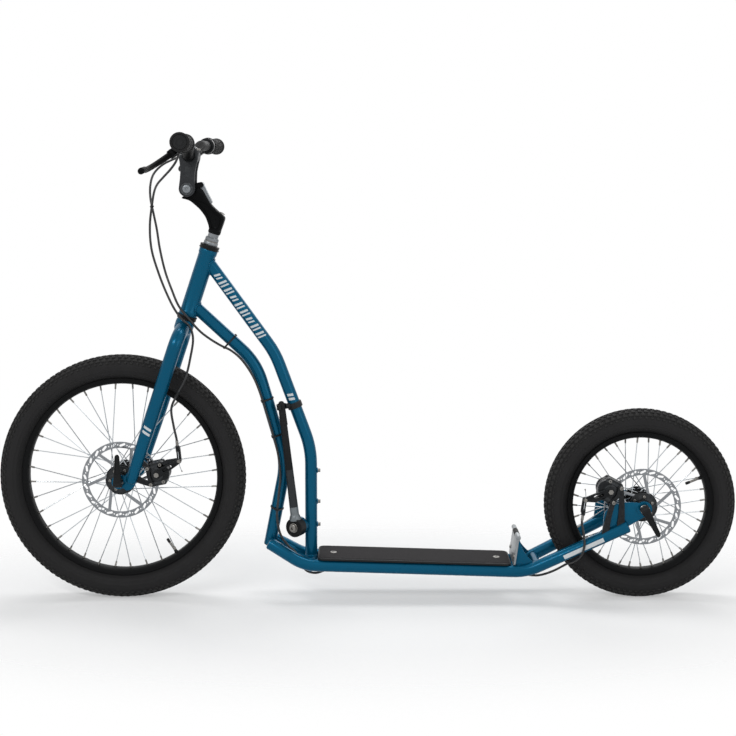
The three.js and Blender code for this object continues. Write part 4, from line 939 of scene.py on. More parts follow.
def printed_bar(
    a: Vector, b: Vector, radius: float, face: Vector, start: float, length: float, low: float, high: float,
    slant: float = 0.0,
) -> Part:
    """A thin printed bar that lies on a round tube.

    Args:
        a: the first end of the tube's straight run.
        b: its second end.
        radius: the tube's radius.
        face: the side of the tube that the angles count from.
        start: where the bar begins, along the run.
        length: its length along the run.
        low: the lower angle.
        high: the upper angle.
        slant: how far its upper edge is shifted along the run.

    Returns:
        The part.
    """
    along = (b - a).normalized()
    front = (face - along * face.dot(along)).normalized()
    other = along.cross(front)
    if other.z < 0:
        other = -other
    verts, count = [], 7
    for i in range(count):
        share = i / (count - 1)
        angle = low + (high - low) * share
        ray = front * math.cos(angle) + other * math.sin(angle)
        for k in range(count):
            run = start + slant * share + length * k / (count - 1)
            verts.append(a + along * run + ray * (radius + 0.1))
    return verts, skin(count, count, looped=False, rounded=False)


def hub_frame(hub: Vector, turn: float) -> Matrix:
    """A frame at a hub, turned about the axle."""
    return Matrix.Translation(hub) @ Matrix.Rotation(turn, 4, "Y")


@dataclass(frozen=True)
class Layout:
    """Where the bike's main places lie; +X is to the rear and +Y to the rider's right."""

    wheelbase: float = 1083.0
    head_tilt: float = math.radians(18.4)
    rake: float = 24.0
    front_radius: float = 257.0
    rear_radius: float = 200.0
    axle_half: float = 50.0
    dropout: float = 6.0
    eye: float = 4.95
    seat: float = 0.35

    @property
    def front_hub(self) -> Vector:
        """The middle of the front axle."""
        return Vector((-(self.wheelbase + self.front_radius + self.rear_radius) / 2 + self.front_radius, 0,
                       self.front_radius))

    @property
    def rear_hub(self) -> Vector:
        """The middle of the rear axle."""
        return Vector((self.front_hub.x + self.wheelbase, 0, self.rear_radius))

    @property
    def steering(self) -> Matrix:
        """The steering's own frame: its Z runs up the head, from beside the front axle."""
        side = Vector((math.cos(self.head_tilt), 0, -math.sin(self.head_tilt)))
        return hub_frame(self.front_hub + side * self.rake, self.head_tilt)

    @property
    def leaf(self) -> Matrix:
        """The left dropouts' own plane, from the bike's middle one."""
        return shift(0, -self.axle_half - self.dropout / 2, 0)

    def on_head(self, along: float) -> Vector:
        """A place on the steering axis."""
        return self.steering @ Vector((0, 0, along))


LAYOUT = Layout()
HEAD_FRAME = LAYOUT.steering
HEAD_TURN = HEAD_FRAME.to_3x3()
UP = Vector((0, 0, 1))
RIGHT = Vector((0, 1, 0))
LEFT = Vector((0, -1, 0))
BACK = Vector((1, 0, 0))


@dataclass
class Tyre:
    """A wheel's tyre: a round casing, a ribbed side wall and rows of small tread blocks."""

    radius: float
    width: float
    depth: float = 47.5
    block_height: float = 2.3
    pitch: float = 13.4
    # Which places of the smoothed half outline stand out as rings on the side wall
    ribs: tuple[int, ...] = (13, 17, 21)
    # Each row: distance from the crown, block length round the tyre, block width, shift in pitches
    rows: tuple[tuple[float, float, float, float], ...] = (
        (4.6, 9.0, 6.2, 0.0), (13.0, 8.4, 6.4, 0.5), (21.4, 9.2, 6.0, 0.0), (28.6, 6.0, 3.6, 0.5))
    # The casing's half outline from its bead to its crown, as shares of depth and half width
    outline: tuple[Spot, ...] = (
        (-0.085, 0.36), (-0.03, 0.42), (0.03, 0.47), (0.1, 0.62), (0.2, 0.84), (0.34, 0.96), (0.5, 0.985),
        (0.66, 0.92), (0.8, 0.76), (0.9, 0.52), (0.945, 0.26), (0.9515, 0.0))

    def casing_path(self) -> list[Vector]:
        """The half outline, smoothed: radius as X and distance from the middle as Y."""
        top = self.radius - self.depth
        half = self.width / 2
        return smooth_path([(top + up * self.depth, out * half, 0) for up, out in self.outline], 4)

    def casing(self, place: Matrix) -> Part:
        """The rubber body.

        Args:
            place: the wheel's frame.

        Returns:
            The part.
        """
        half = [(v.x, v.y + (0.5 if k in self.ribs else 0.0)) for k, v in enumerate(self.casing_path())]
        inner = [(self.radius - self.block_height - 6, 0.0), (self.radius - 14, self.width * 0.3),
                 (self.radius - 34, self.width * 0.36), (half[0][0] + 4, half[0][1] - 3.5)]
        outline = half + [(r, -y) for r, y in reversed(half[:-1])]
        outline += [(r, -y) for r, y in reversed(inner)] + inner[1:]
        return lathe(outline, place, 128)

    def tread(self, place: Matrix) -> Part:
        """The tread blocks.

        Args:
            place: the wheel's frame.

        Returns:
            The part.
        """
        path = self.casing_path()[::-1]
        count = round(2 * math.pi * self.radius / self.pitch)
        parts = []
        for distance, length, width, shift_by in self.rows:
            spot, out = self.on_casing(path, distance)
            for side, ahead in ((1, 0.25), (-1, 0)):
                for k in range(count):
                    angle = 2 * math.pi * (k + shift_by + ahead) / count
                    parts.append(self.block(place, spot, out, side, angle, length, width))
        return joined(parts)

    def on_casing(self, path: Sequence[Vector], distance: float) -> tuple[Vector, Vector]:
        """A place on the casing and the way out of it.

        Args:
            path: the half outline from the crown down.
            distance: how far from the crown.

        Returns:
            The place and the outward direction.
        """
        run = 0.0
        for a, b in zip(path, path[1:]):
            step = (b - a).length
            if run + step >= distance:
                along = (b - a).normalized()
                return a + along * (distance - run), Vector((along.y, -along.x, 0))
            run += step
        return path[-1], Vector((1, 0, 0))

    def block(
        self, place: Matrix, spot: Vector, out: Vector, side: int, angle: float, length: float, width: float
    ) -> Part:
        """One tread block, tapered to its top.

        Args:
            place: the wheel's frame.
            spot: its place in the outline.
            out: the way out of the casing there.
            side: 1 for the right half, -1 for the left.
            angle: where it is round the wheel.
            length: its length round the tyre.
            width: its width.

        Returns:
            The part.
        """
        turn = place @ Matrix.Rotation(-angle, 4, "Y")
        across = Vector((out.y, -out.x, 0))
        verts = []
        for lift, trim in ((-0.8, 0.0), (self.block_height * 0.75, 0.35), (self.block_height, 0.95)):
            for u, v in ((-1, -1), (1, -1), (1, 1), (-1, 1)):
                flat = spot + out * lift + across * u * (width / 2 - trim)
                flat.x = min(flat.x, self.radius - 0.12)
                verts.append(turn @ Vector((flat.x, side * flat.y, v * (length / 2 - trim))))
        return verts, [(3, 2, 1, 0), (8, 9, 10, 11), *skin(3, 4, looped=False)]


@dataclass
class Wheel:
    """A spoked wheel with its tyre, rim, hub, brake disc and valve."""

    name: str
    hub: Vector
    tyre: Tyre
    turn: float
    body: Body
    stainless: Finish
    rim_depth: float = 13.0
    rim_half: float = 15.0
    spokes: int = 18
    cross: float = math.radians(62)
    head_radius: float = 24.0
    flange: float = 28.0

    @property
    def place(self) -> Matrix:
        """The wheel's frame, turned as its valve stands."""
        return hub_frame(self.hub, self.turn)

    @property
    def rim_top(self) -> float:
        """The radius of the rim's outer edge."""
        return self.tyre.radius - self.tyre.depth

    def build(self) -> None:
        """Makes all the wheel's pieces."""
        name, body = self.name, self.body
        rubber = [(self.tyre.casing(self.place), TYRE), (self.tyre.tread(self.place), TYRE)]
        piece(f"{name}_tyre_with_tread", rubber, body, [f"{name}_tyre"], math.radians(28))
        piece(f"{name}_rim_with_valve", self.rim(), body, [f"{name}_rim"])
        for side, word in ((1, "right"), (-1, "left")):
            piece(f"{name}_{word}_spokes_and_nipples", self.lacing(side), body,
                  [f"{name}_{word}_spokes"])
        piece(f"{name}_hub_shell", self.shell(), body, [f"{name}_hub"])
        piece(f"{name}_drilled_disc", self.disc(), body, [f"{name}_brake_disc"],
              math.radians(30))

    def rim(self) -> Dressed:
        """The rim's hollow-looking section with its bead walls, and the valve."""
        top, half, foot = self.rim_top, self.rim_half, self.rim_top - 5
        low = top - self.rim_depth
        side = [(foot, 0), (foot, half - 4.6), (top - 4.2, half - 3.2), (top - 0.8, half - 3.2),
                (top, half - 2.4), (top, half - 0.8), (top - 0.8, half), (top - 2.6, half),
                (top - 3.2, half - 0.5), (low + 6.5, half - 0.6), (low + 3.0, half - 2.0),
                (low + 0.8, half - 5.6), (low, half - 9.5), (low, 0)]
        outline = side + [(r, -y) for r, y in reversed(side[1:-1])]
        valve = facing(self.place @ Vector((0, 0, foot)), self.place.to_3x3() @ Vector((0, 0, -1)))
        base = [(AXIS, 0), (4.4, 0), (4.4, 8.4), (3.9, 10.5), (3.0, 14), (AXIS, 14)]
        thread = [(AXIS, 13)] + [(2.5 + 0.22 * (k % 2), 13 + 0.55 * k) for k in range(38)] + [(AXIS, 33.8)]
        cap = [(AXIS, 33.5), (3.1, 33.5), (3.1, 40.5), (2.5, 42.6), (AXIS, 42.9)]
        return [(lathe(outline, self.place, 128), RIM_BLACK), (lathe(base, valve, 24), SOFT_RUBBER),
                (lathe(thread, valve, 20), ZINC), (lathe(cap, valve, 12), ABS)]

    def lacing(self, side: int) -> Dressed:
        """One side's spokes, each with its elbow, head and nipple.

        Args:
            side: 1 for the right, -1 for the left.

        Returns:
            The parts.
        """
        head = [(AXIS, 0), (2.1, 0), (1.9, 0.7), (1.0, 1.15), (AXIS, 1.25)]
        nipple = [(0.9, 0), (1.6, 0.3), (1.9, 1.2), (1.9, 9), (2.4, 10), (2.4, 11.2), (0.9, 11.2)]
        rim_end = self.rim_top - self.rim_depth - 0.2
        turned = self.place.to_3x3()
        wires, nipples = [], []
        for k in range(self.spokes):
            lean = 1 if k % 2 == 0 else -1
            angle = 2 * math.pi * (k + 0.5) / self.spokes - (0 if side > 0 else math.pi / self.spokes)
            start = angle + lean * self.cross
            outside, seat, elbow = (about_y(self.head_radius, start, side * y)
                                    for y in (29.9, 29.4, 23.75 + lean * 1.4))
            end = about_y(rim_end, angle, side * (3 + lean * 1.4))
            away = (end - elbow).normalized()
            path = bent_path([outside, elbow, end], [1.8], math.radians(30))
            wires.append(sweep([self.place @ v for v in path], 1.0, 8))
            wires.append(lathe(head, facing(self.place @ seat, turned @ Vector((0, side, 0))), 10))
            nipples.append(lathe(nipple, facing(self.place @ (end - away * 11), turned @ away), 8))
        return [(joined(wires), WIRE), (joined(nipples), ZINC)]

    def shell(self) -> Dressed:
        """The hub's turned body with its flanges, disc seat and bearing seals."""
        f = self.flange
        profile = [(6.8, 42), (13.6, 42), (15, 41), (15, 36), (16.2, 34.6), (18.6, 30.4), (26.6, 29.5),
                   (f, 29.2), (f, 26.9), (26.6, 26.5), (18.8, 25.2), (16, 22.6), (14.4, 18), (14.0, 0),
                   (14.4, -18), (16, -22.6), (18.8, -25.2), (26.6, -26.5), (f, -26.9), (f, -29.2),
                   (26, -29.6), (26, -31.6), (31.2, -31.8), (31.8, -32.2), (31.8, -33.2), (31.2, -33.7),
                   (15, -33.7), (15, -41), (13.6, -42), (6.8, -42)]
        seal = [(6.8, 42.6), (12.6, 42.6), (13, 42.2), (13, 41), (6.8, 41)]
        seals = [lathe([(r, way * y) for r, y in seal], self.place, 48) for way in (1, -1)]
        return [(lathe(profile, self.place, 64), ANODISED), (joined(seals), ABS)]

    def disc(self) -> Dressed:
        """The disc: a braking ring with leaning slots and holes, on leaning arms, and its six screws."""
        arms, lean, half, foot, outer = 6, math.radians(36), 3.0, 27.5, 67.0
        windows, holes, screws = [], [], []
        for k in range(arms):
            low, high = (self.arm_edge(2 * math.pi * (k + ahead) / arms, lean, off, foot, outer)
                         for ahead, off in ((0, half), (1, -half)))
            windows.append(eased([*low, *self.between(outer, low[-1], high[-1], 1), *high[::-1],
                                  *self.between(foot, high[0], low[0], -1)], 1.6, 2))
        track, count, tilt = 73.5, 24, math.radians(24)
        for k in range(count):
            angle = 2 * math.pi * (k + 0.5) / count
            x, y = track * math.cos(angle), track * math.sin(angle)
            dx, dy = -4.2 * math.sin(angle + tilt), 4.2 * math.cos(angle + tilt)
            holes.append(slot_outline((x - dx, y - dy), (x + dx, y + dy), 2.3))
            angle += math.pi / count
            holes.append(circle((track * math.cos(angle), track * math.sin(angle)), 1.5, 10))
        blade = plate(circle((0, 0), 80.0, 128), [circle((0, 0), 15.6, 48), *windows, *holes], 1.8,
                      self.place @ shift(0, -35, 0), 0.25)
        for k in range(6):
            spot = self.place @ about_y(21.4, 2 * math.pi * (k + 0.5) / 6, -37.3)
            screws.append(socket_screw(spot, self.place.to_3x3() @ LEFT, 4.0, 2.6, domed=True))
        carrier = [(15.8, -35.8), (29.6, -35.8), (30.0, -36.2), (29.2, -37.1), (28.4, -37.4), (15.8, -37.4)]
        return [(blade, self.stainless), (lathe(carrier, self.place, 64), ANODISED), (joined(screws), ZINC)]

    @staticmethod
    def arm_edge(start: float, turned: float, off: float, low: float, high: float) -> Outline:
        """One edge of a leaning arm between two radii.

        Args:
            start: the arm's angle at its root.
            turned: how far it leans to its tip.
            off: the edge's distance from the arm's middle line.
            low: the radius where the edge starts.
            high: the radius where it ends.

        Returns:
            The edge, from the root out.
        """
        root = Vector((22.5 * math.cos(start), 22.5 * math.sin(start)))
        tip = Vector((69.5 * math.cos(start + turned), 69.5 * math.sin(start + turned)))
        along = (tip - root).normalized()
        foot = root + Vector((-along.y, along.x)) * off
        ends = []
        for radius in (low, high):
            b, c = foot.dot(along), foot.dot(foot) - radius * radius
            ends.append(foot + along * (-b + math.sqrt(b * b - c)))
        return [(v.x, v.y) for v in (ends[0].lerp(ends[1], t / 8) for t in range(9))]

    @staticmethod
    def between(radius: float, first: Spot, last: Spot, way: int) -> Outline:
        """The places between two others on a circle about the hub.

        Args:
            radius: the circle's radius.
            first: the place before them.
            last: the place after them.
            way: 1 for growing angles, -1 for falling ones.

        Returns:
            The places.
        """
        start, end = math.atan2(first[1], first[0]), math.atan2(last[1], last[0])
        span = (end - start) * way % (2 * math.pi)
        return arc((0, 0), radius, start, way * span, max(2, math.ceil(span / math.radians(4))))[1:-1]


@dataclass
class AxleSet:
    """An axle with its lock nuts and cones, and the quick release on its left end."""

    name: str
    hub: Vector
    turn: float
    axle_body: Body
    release_body: Body
    stub: float = 4.6
    cam_place: float = -65.35
    cam: float = 8.9

    @property
    def place(self) -> Matrix:
        """The axle's frame, turned as the release lever stands."""
        return hub_frame(self.hub, self.turn)

    def build(self) -> None:
        """Makes the axle and the release."""
        piece(f"{self.name}_axle_and_nuts", self.axle(), self.axle_body, [f"{self.name}_axle"])
        piece(f"{self.name}_release_lever", self.release(), self.release_body,
              [f"{self.name}_quick_release"])

    def axle(self) -> Dressed:
        """The threaded axle, its cones and nuts, and the release's nut on the right."""
        at = self.place
        low, high, step = self.cam_place - 4.2, 62.2, 0.7
        count = int((high - low) / step)
        ridges = [(self.stub - 0.3 * (k % 2), low + step * k) for k in range(count)]
        thread = [(AXIS, low), *ridges, (AXIS, high)]
        parts = [(lathe(thread, at, 24), ZINC), (lathe(even([(AXIS, -43), (6, -43)]), at, 32), ZINC)]
        for way in (1, -1):
            out = Vector((0, way, 0))
            parts.append((nut(at @ (out * 43.7), at.to_3x3() @ out, 8.9, 4.2, 4.4), ZINC))
            washer = [(4.7, way * 48), (8.4, way * 48), (8.4, way * 49.6), (4.7, way * 49.6)]
            parts.append((lathe(washer, at, 32), ZINC))
        cap = [(4.4, 56.4), (8.8, 56.4), (9.0, 57.2), (9.0, 59.2), (7.6, 61.6), (4.8, 62.2), (4.4, 62.2)]
        return [*parts, (lathe(cap, at, 40), ANODISED)]

    def release(self) -> Dressed:
        """The cam body with its pin, and the gently cupped lever."""
        at, r = self.place, self.cam
        across = at @ facing(Vector((0, self.cam_place, 0)), Vector((1, 0, 0)))
        cam = lathe(even([(AXIS, -9), (r - 1, -9), (r, -8)]), across, 48)
        pin = lathe(even([(AXIS, -9.6), (2.2, -9.6), (2.4, -9.2)]), across, 20)
        left = [(-7.6, 3), (-7.8, 12), (-6.9, 24), (-5.6, 40), (-5.2, 52), (-4.6, 57.5), (-2.4, 60.2)]
        outline = [*left, (0, 60.9), *[(-u, v) for u, v in left[::-1]], (5, 0), (-5, 0)]
        middle = at @ shift(0, self.cam_place - 6.5, 0)
        blade = plate(eased(outline, 3, 3), [slot_outline((0, 22), (0, 50), 2.9, 2.3)], 4.6, middle, 1.3)
        web = plate(slot_outline((0, 20), (0, 51), 3.6, 3.0), [], 2.6, middle, 0.3)
        washer = lathe([(4.8, -56.4), (9.6, -56.4), (9.6, -58.6), (8.6, -59.4), (4.8, -59.4)], at, 40)
        return [(joined([cam, blade, web]), SATIN), (pin, ZINC), (washer, ZINC)]


@dataclass
class Head:
    """The head tube, its headset, the steerer and the fork."""

    bottom: float = 366.0
    length: float = 144.0
    tube: float = 18.0
    cup: float = 21.0
    leg: float = 14.3
    leg_offset: float = 60.0

    def build(self) -> None:
        """Makes the head and fork."""
        top = self.bottom + self.length
        piece("head_tube_with_collars", self.head(), Body.FRAME, ["head_tube"])
        piece("lower_headset", self.headset(self.bottom, -1), Body.FRAME, ["lower_headset_cup"])
        piece("upper_headset", self.headset(top, 1), Body.FRAME, ["upper_headset_cup"])
        piece("fork_crown_and_steerer", self.crown(), Body.STEERING, ["fork_steerer"])
        piece("headset_locknut", self.locknut(), Body.STEERING, ["headset_lock_nut"])
        pair("fork_blade", self.fork_leg(), "fork_leg", Body.STEERING, Body.STEERING)

    def column(self, along: float) -> Matrix:
        """A place on the steering axis whose Y points up the head."""
        return facing(LAYOUT.on_head(along), HEAD_TURN @ UP)

    def head(self) -> Dressed:
        """The head tube with its two rolled collars."""
        r, n = self.tube, self.length
        end = [(15.4, 0), (r + 0.9, 0), (r + 1.2, 0.5), (r + 1.2, 9), (r + 0.5, 10.6), (r, 11.6)]
        profile = end + [(radius, n - along) for radius, along in end[::-1]]
        return [(lathe(profile, self.column(self.bottom), 64), ENAMEL)]

    def headset(self, end: float, way: int) -> Dressed:
        """A headset cup with its lip, seal and skirt.

        Args:
            end: where the head tube ends.
            way: 1 for the upper cup, -1 for the lower one.

        Returns:
            The parts.
        """
        c = self.cup
        lip = [(13.3, 0.35), (c - 0.6, 0.35), (c, 0.9), (c, 2.4), (c - 0.9, 3.0), (c - 1.2, 6.4),
               (c - 0.8, 7.4), (c - 0.8, 9.0), (c - 1.4, 9.35), (13.3, 9.35)]
        skirt = [(13.3, 0.4), (15.0, 0.4), (15.0, -8), (13.3, -8)]
        seal = [(c - 1.3, 6.5), (c - 0.5, 6.6), (c - 0.5, 7.3), (c - 1.3, 7.4)]
        turn = self.column(end) @ Matrix.Scale(way, 4, Vector((0, 1, 0)))
        return [(joined([lathe(lip, turn, 64), lathe(skirt, turn, 48)]), SATIN),
                (lathe(seal, turn, 64), SOFT_RUBBER)]

    def crown(self) -> Dressed:
        """The steerer and the crown lump that the fork blades are welded to."""
        steerer = [(11.4, -4), (12.7, -4), (12.7, 179.4), (11.4, 179.4)]
        lump = [(AXIS, -28), (13.5, -28.6), (17.6, -26), (19.6, -21), (19.9, -8), (19.2, -3.2),
                (18.4, -1.8), (18.4, 0), (AXIS, 0)]
        race = [(12.8, -0.1), (18.2, -0.1), (18.2, -1.6), (12.8, -1.6)]
        base = self.column(self.bottom - 9.7)
        parts = [(lathe(steerer, base, 48), ZINC), (lathe(lump, base, 64), ENAMEL),
                 (lathe(race, base, 64), ZINC)]
        corners = self.leg_corners()
        for way in (1, -1):
            foot, bend = (Vector((v.x, way * v.y, v.z)) for v in corners[:2])
            line = saddle(foot, (bend - foot).normalized(), self.leg + 0.3, Vector((0, 0, 0)), UP, 20.2)
            parts.append((weld([HEAD_FRAME @ v for v in line], 1.8), ENAMEL))
        return parts

    def leg_corners(self) -> list[Vector]:
        """The left blade's corners in the steering's frame."""
        top = self.bottom - 9.7
        return [Vector((0, -10, top - 15)), Vector((0, -self.leg_offset, top - 34)),
                Vector((0, -self.leg_offset, 6))]

    def fork_leg(self) -> Dressed:
        """The left blade: a bent tube that narrows to its closed foot, with a welded dropout."""
        path = bent_path(self.leg_corners(), [34.0])
        foot = path[-1].z
        fine = path[:-1] + [path[-2].lerp(path[-1], k / 14) for k in range(1, 15)]
        fine = [v for k, v in enumerate(fine) if k == 0 or (v - fine[k - 1]).length > 1e-4]
        sizes = [self.leg * (1 - 0.2 * max(0.0, 1 - (v.z - foot) / 150) ** 1.4) for v in fine]
        last = sizes.pop()
        fine.pop()
        for drop, share in ((5.8, 1.0), (3.2, 0.93), (1.2, 0.74), (0.2, 0.4), (0.0, 0.06)):
            fine.append(Vector((0, -self.leg_offset, foot + drop)))
            sizes.append(last * share)
        tube = sweep([HEAD_FRAME @ v for v in fine], sizes, 40)
        turned = HEAD_FRAME @ LAYOUT.leaf
        holes = [circle((-LAYOUT.rake, 0), LAYOUT.eye, 28), circle((-6.5, 17), 2.6, 20)]
        tab = plate(self.dropout_outline(), holes, LAYOUT.dropout, turned, 0.6)
        rim = lathe(even([(5.2, -3.25), (9.0, -3.25), (9.2, -3.0)]), turned @ shift(-LAYOUT.rake, 0, 0), 40)
        front = [HEAD_FRAME @ Vector((-11.2 + 8.8 * t ** 2.2, -55.4, 12 + 40 * t)) for t in shares(24)]
        back = [HEAD_FRAME @ Vector((9.2, -56.2, 12 + 38 * t)) for t in shares(24)]
        top, low = (HEAD_FRAME @ Vector((0, -self.leg_offset, at)) for at in (200, 100))
        bars = [printed_bar(top, low, self.leg, LEFT, at, 5.2, -0.62, 0.62, -5.0) for at in (71, 81)]
        return [(joined([tube, tab, rim, open_weld(front), open_weld(back)]), ENAMEL),
                (joined(bars), PRINT)]

    @staticmethod
    def dropout_outline() -> Outline:
        """The dropout's edge: a round eye ahead of the blade and a leaf up behind it."""
        eye = circle((-LAYOUT.rake, 0), 15, 48)
        kept = [p for p in eye if not (p[0] > -LAYOUT.rake + 4 and p[1] > -9)]
        start = next(k for k in range(len(kept)) if math.dist(kept[k], kept[k - 1]) > 6)
        eye_part = kept[start:] + kept[:start]
        leaf = [(-4, -12.4), (4, -8), (9.5, 2), (11.5, 18), (11.9, 36), (8, 44.5), (0, 46), (-7.6, 43.4),
                (-11.6, 36), (-12.6, 26), (-15.5, 18)]
        return eye_part + leaf

    def locknut(self) -> Dressed:
        """The headset's adjusting nut and lock nut, with a toothed washer between them."""
        place = self.column(self.bottom + self.length + 9.7)
        low = [(13.1, 0), (14.8, 0), (15, 0.5), (15, 6.2), (14.6, 6.8), (13.1, 6.8)]
        washer = [(13.1, 6.8), (14.2, 6.8), (14.2, 8.6), (13.1, 8.6)]
        high = [(13.1, 8.6), (13.6, 8.6), (15, 9.2), (15, 14.8), (13.9, 16), (13.1, 16)]
        return [(joined([lathe(low, place, 48), lathe(high, place, 8)]), BLASTED),
                (lathe(washer, place, 30), ZINC)]


@dataclass
class Stem:
    """The swan-necked stem: quill, neck, hinged arm, bar clamp and lock lever, in the steering's frame."""

    base: float = 549.7
    top_nut: float = 535.7
    reach: float = 95.0
    rise: float = 86.0
    half: float = 14.0
    boss: float = 16.5
    arm_tilt: float = math.radians(14.7)
    arm_length: float = 69.0
    cheek: float = 7.0
    clamp: float = 20.0
    bulge: float = 12.7

    @property
    def pivot(self) -> Vector:
        """The stem's hinge."""
        return Vector((-79, 0, self.base + 66))

    def on_arm(self, along: float, across: float = 0.0) -> Vector:
        """A place on the arm.

        Args:
            along: how far from its hinge.
            across: how far behind its axis.

        Returns:
            The place, in the head's frame.
        """
        up = Vector((-math.sin(self.arm_tilt), 0, math.cos(self.arm_tilt)))
        behind = Vector((math.cos(self.arm_tilt), 0, math.sin(self.arm_tilt)))
        return self.pivot + up * along + behind * across

    @property
    def bar(self) -> Vector:
        """The bar's middle."""
        return self.on_arm(self.arm_length)

    @property
    def lock_pivot(self) -> Vector:
        """The lock lever's pin."""
        return self.pivot + Vector((23.5, 0, self.boss))

    @property
    def hinge_frame(self) -> Matrix:
        """The hinge's frame, with its Y along the bolt."""
        return HEAD_FRAME @ Matrix.Translation(self.pivot)

    def build(self) -> None:
        """Makes the stem's pieces."""
        piece("forged_stem_neck", self.neck(), Body.STEERING, ["stem_neck"])
        piece("stem_upper_arm", self.arm(), Body.BARS, ["stem_arm"])
        piece("stem_hinge_bolt", self.hinge(), Body.BARS, ["stem_pivot_bolt"])
        piece("bar_clamp_front_cap", self.cap(), Body.BARS, ["bar_clamp_cap"])
        piece("stem_lock_blade", self.lock(), Body.STEM_LOCK, ["stem_lock_lever"])

    def level(self, y: float = 0.0) -> Matrix:
        """The steering's frame, moved across."""
        return HEAD_FRAME @ shift(0, y, 0)

    def neck(self) -> Dressed:
        """The quill, its collar, the leaning forged body, its boss and the lever's two ears."""
        form = [(0.12, 0), (0.135, 0.2), (0.13, 0.4), (0.03, 0.44), (-0.15, 0.53), (-0.27, 0.6),
                (-0.52, 0.86), (-0.62, 0.88), (-0.92, 0.5), (-0.71, 0.52), (-0.45, 0.4), (-0.27, 0.26),
                (-0.15, 0.08), (-0.12, 0)]
        corners = [(x * self.reach, self.base + z * self.rise) for x, z in form]
        at, thick, ear_foot = self.level(), self.half * 2, self.pivot.lerp(self.lock_pivot, 0.3)
        body = plate(eased(corners, 7, 4), [], thick - 3, at, 3.4)
        core = plate(eased([(x * 0.985 - 0.3, z) for x, z in corners], 8, 4), [], thick, at, 6.2)
        boss = lathe(even([(5.4, -14), (14.6, -14), (self.boss, -12.6)]), self.hinge_frame, 56)
        column = facing(LAYOUT.on_head(self.top_nut), HEAD_TURN @ UP)
        quill = lathe([(AXIS, -90), (10.4, -90), (11.1, -88), (11.1, 15), (AXIS, 15)], column, 48)
        ring = [(AXIS, 8.5), (12.0, 8.5), (13.0, 10), (13.2, 14), (12.6, 24), (AXIS, 26)]
        collar = lathe(ring, column, 48)
        scale = [lathe([(11.0, k), (11.22, k), (11.22, k + 0.35), (11.0, k + 0.35)], column, 48)
                 for k in (2.0, 4.2, 6.4)]
        ear = slot_outline(side_view(ear_foot), side_view(self.lock_pivot), 7.5, 5.5)
        ears = [plate(ear, [], 3.4, self.level(y), 0.8) for y in (-8.05, 8.05)]
        lean = HEAD_TURN @ Vector((0.2, 0, 0.98))
        screw = socket_screw(at @ Vector((4, 0, self.base + 39)), lean, 5.2, 2.2)
        return [(joined([body, core, boss, collar, *ears]), FORGING_BLACK),
                (joined([quill, *scale]), BLASTED),
                (screw, ZINC)]

    def arm(self) -> Dressed:
        """The hinged upper arm: two cheeks beside the boss, a web between them and the bar's rear seat."""
        waist = ((20, 15.2), (36, 15.0), (52, 17.4), (62, 19.6), (68.6, 20))
        cheek = self.seated(self.pivot, self.boss, 24, waist)
        block = self.seated(self.on_arm(43.5), 10.0, 12, ((62, 19.2), (68.4, 19.8)))
        window = slot_outline(side_view(self.on_arm(28)), side_view(self.on_arm(40)), 5.0, 6.2)
        ring = [(9.2, 21.3), (12.6, 21.3), (12.8, 21.7), (12.8, 22.3), (9.2, 22.3)]
        inside = self.half + 0.35
        parts = [plate(block, [], 2 * (self.half + 0.4), self.level(), 0.3)]
        for way in (-1, 1):
            parts += [plate(cheek, [circle(side_view(self.pivot), 5.4, 32)], self.cheek,
                            self.level(way * (inside + self.cheek / 2)), 1.3),
                      plate(window, [], 0.8, self.level(way * (inside + self.cheek)), 0.3),
                      lathe([(r, way * y) for r, y in ring], self.hinge_frame, 40)]
        return [(joined(parts), HARD_ANODISED)]

    def seated(self, foot: Vector, radius: float, steps: int, flank: Sequence[Spot]) -> Outline:
        """The edge of a piece with a round foot and the bar's half-round seat at its upper end.

        Args:
            foot: the middle of its round foot.
            radius: the foot's radius.
            steps: how many steps round the foot.
            flank: places of its rear edge, each along the arm and across it.

        Returns:
            The edge.
        """
        rear, ahead = ([side_view(self.on_arm(s, way * w)) for s, w in flank] for way in (1, -1))
        round_foot = arc(side_view(foot), radius, math.pi + self.arm_tilt, math.pi, steps)
        seat = arc(side_view(self.bar), self.bulge + 0.3, self.arm_tilt, -math.pi, 12)
        return round_foot + rear + seat + ahead[::-1]

    def hinge(self) -> Dressed:
        """The hinge bolt with its washers, head and dome nut."""
        at = self.hinge_frame
        shank = lathe(even([(AXIS, -21.6), (5, -21.6)]), at, 32)
        head = socket_screw(at @ (LEFT * 22.9), HEAD_TURN @ LEFT, 7.6, 3.6)
        washers = [lathe([(5, y), (8.6, y), (8.6, y + 1.1), (5, y + 1.1)], at, 40) for y in (-23.0, 21.9)]
        dome = nut(at @ (RIGHT * 22.9), HEAD_TURN @ RIGHT, 7.8, 3.7)
        return [(joined([shank, head, *washers, dome]), BLASTED)]

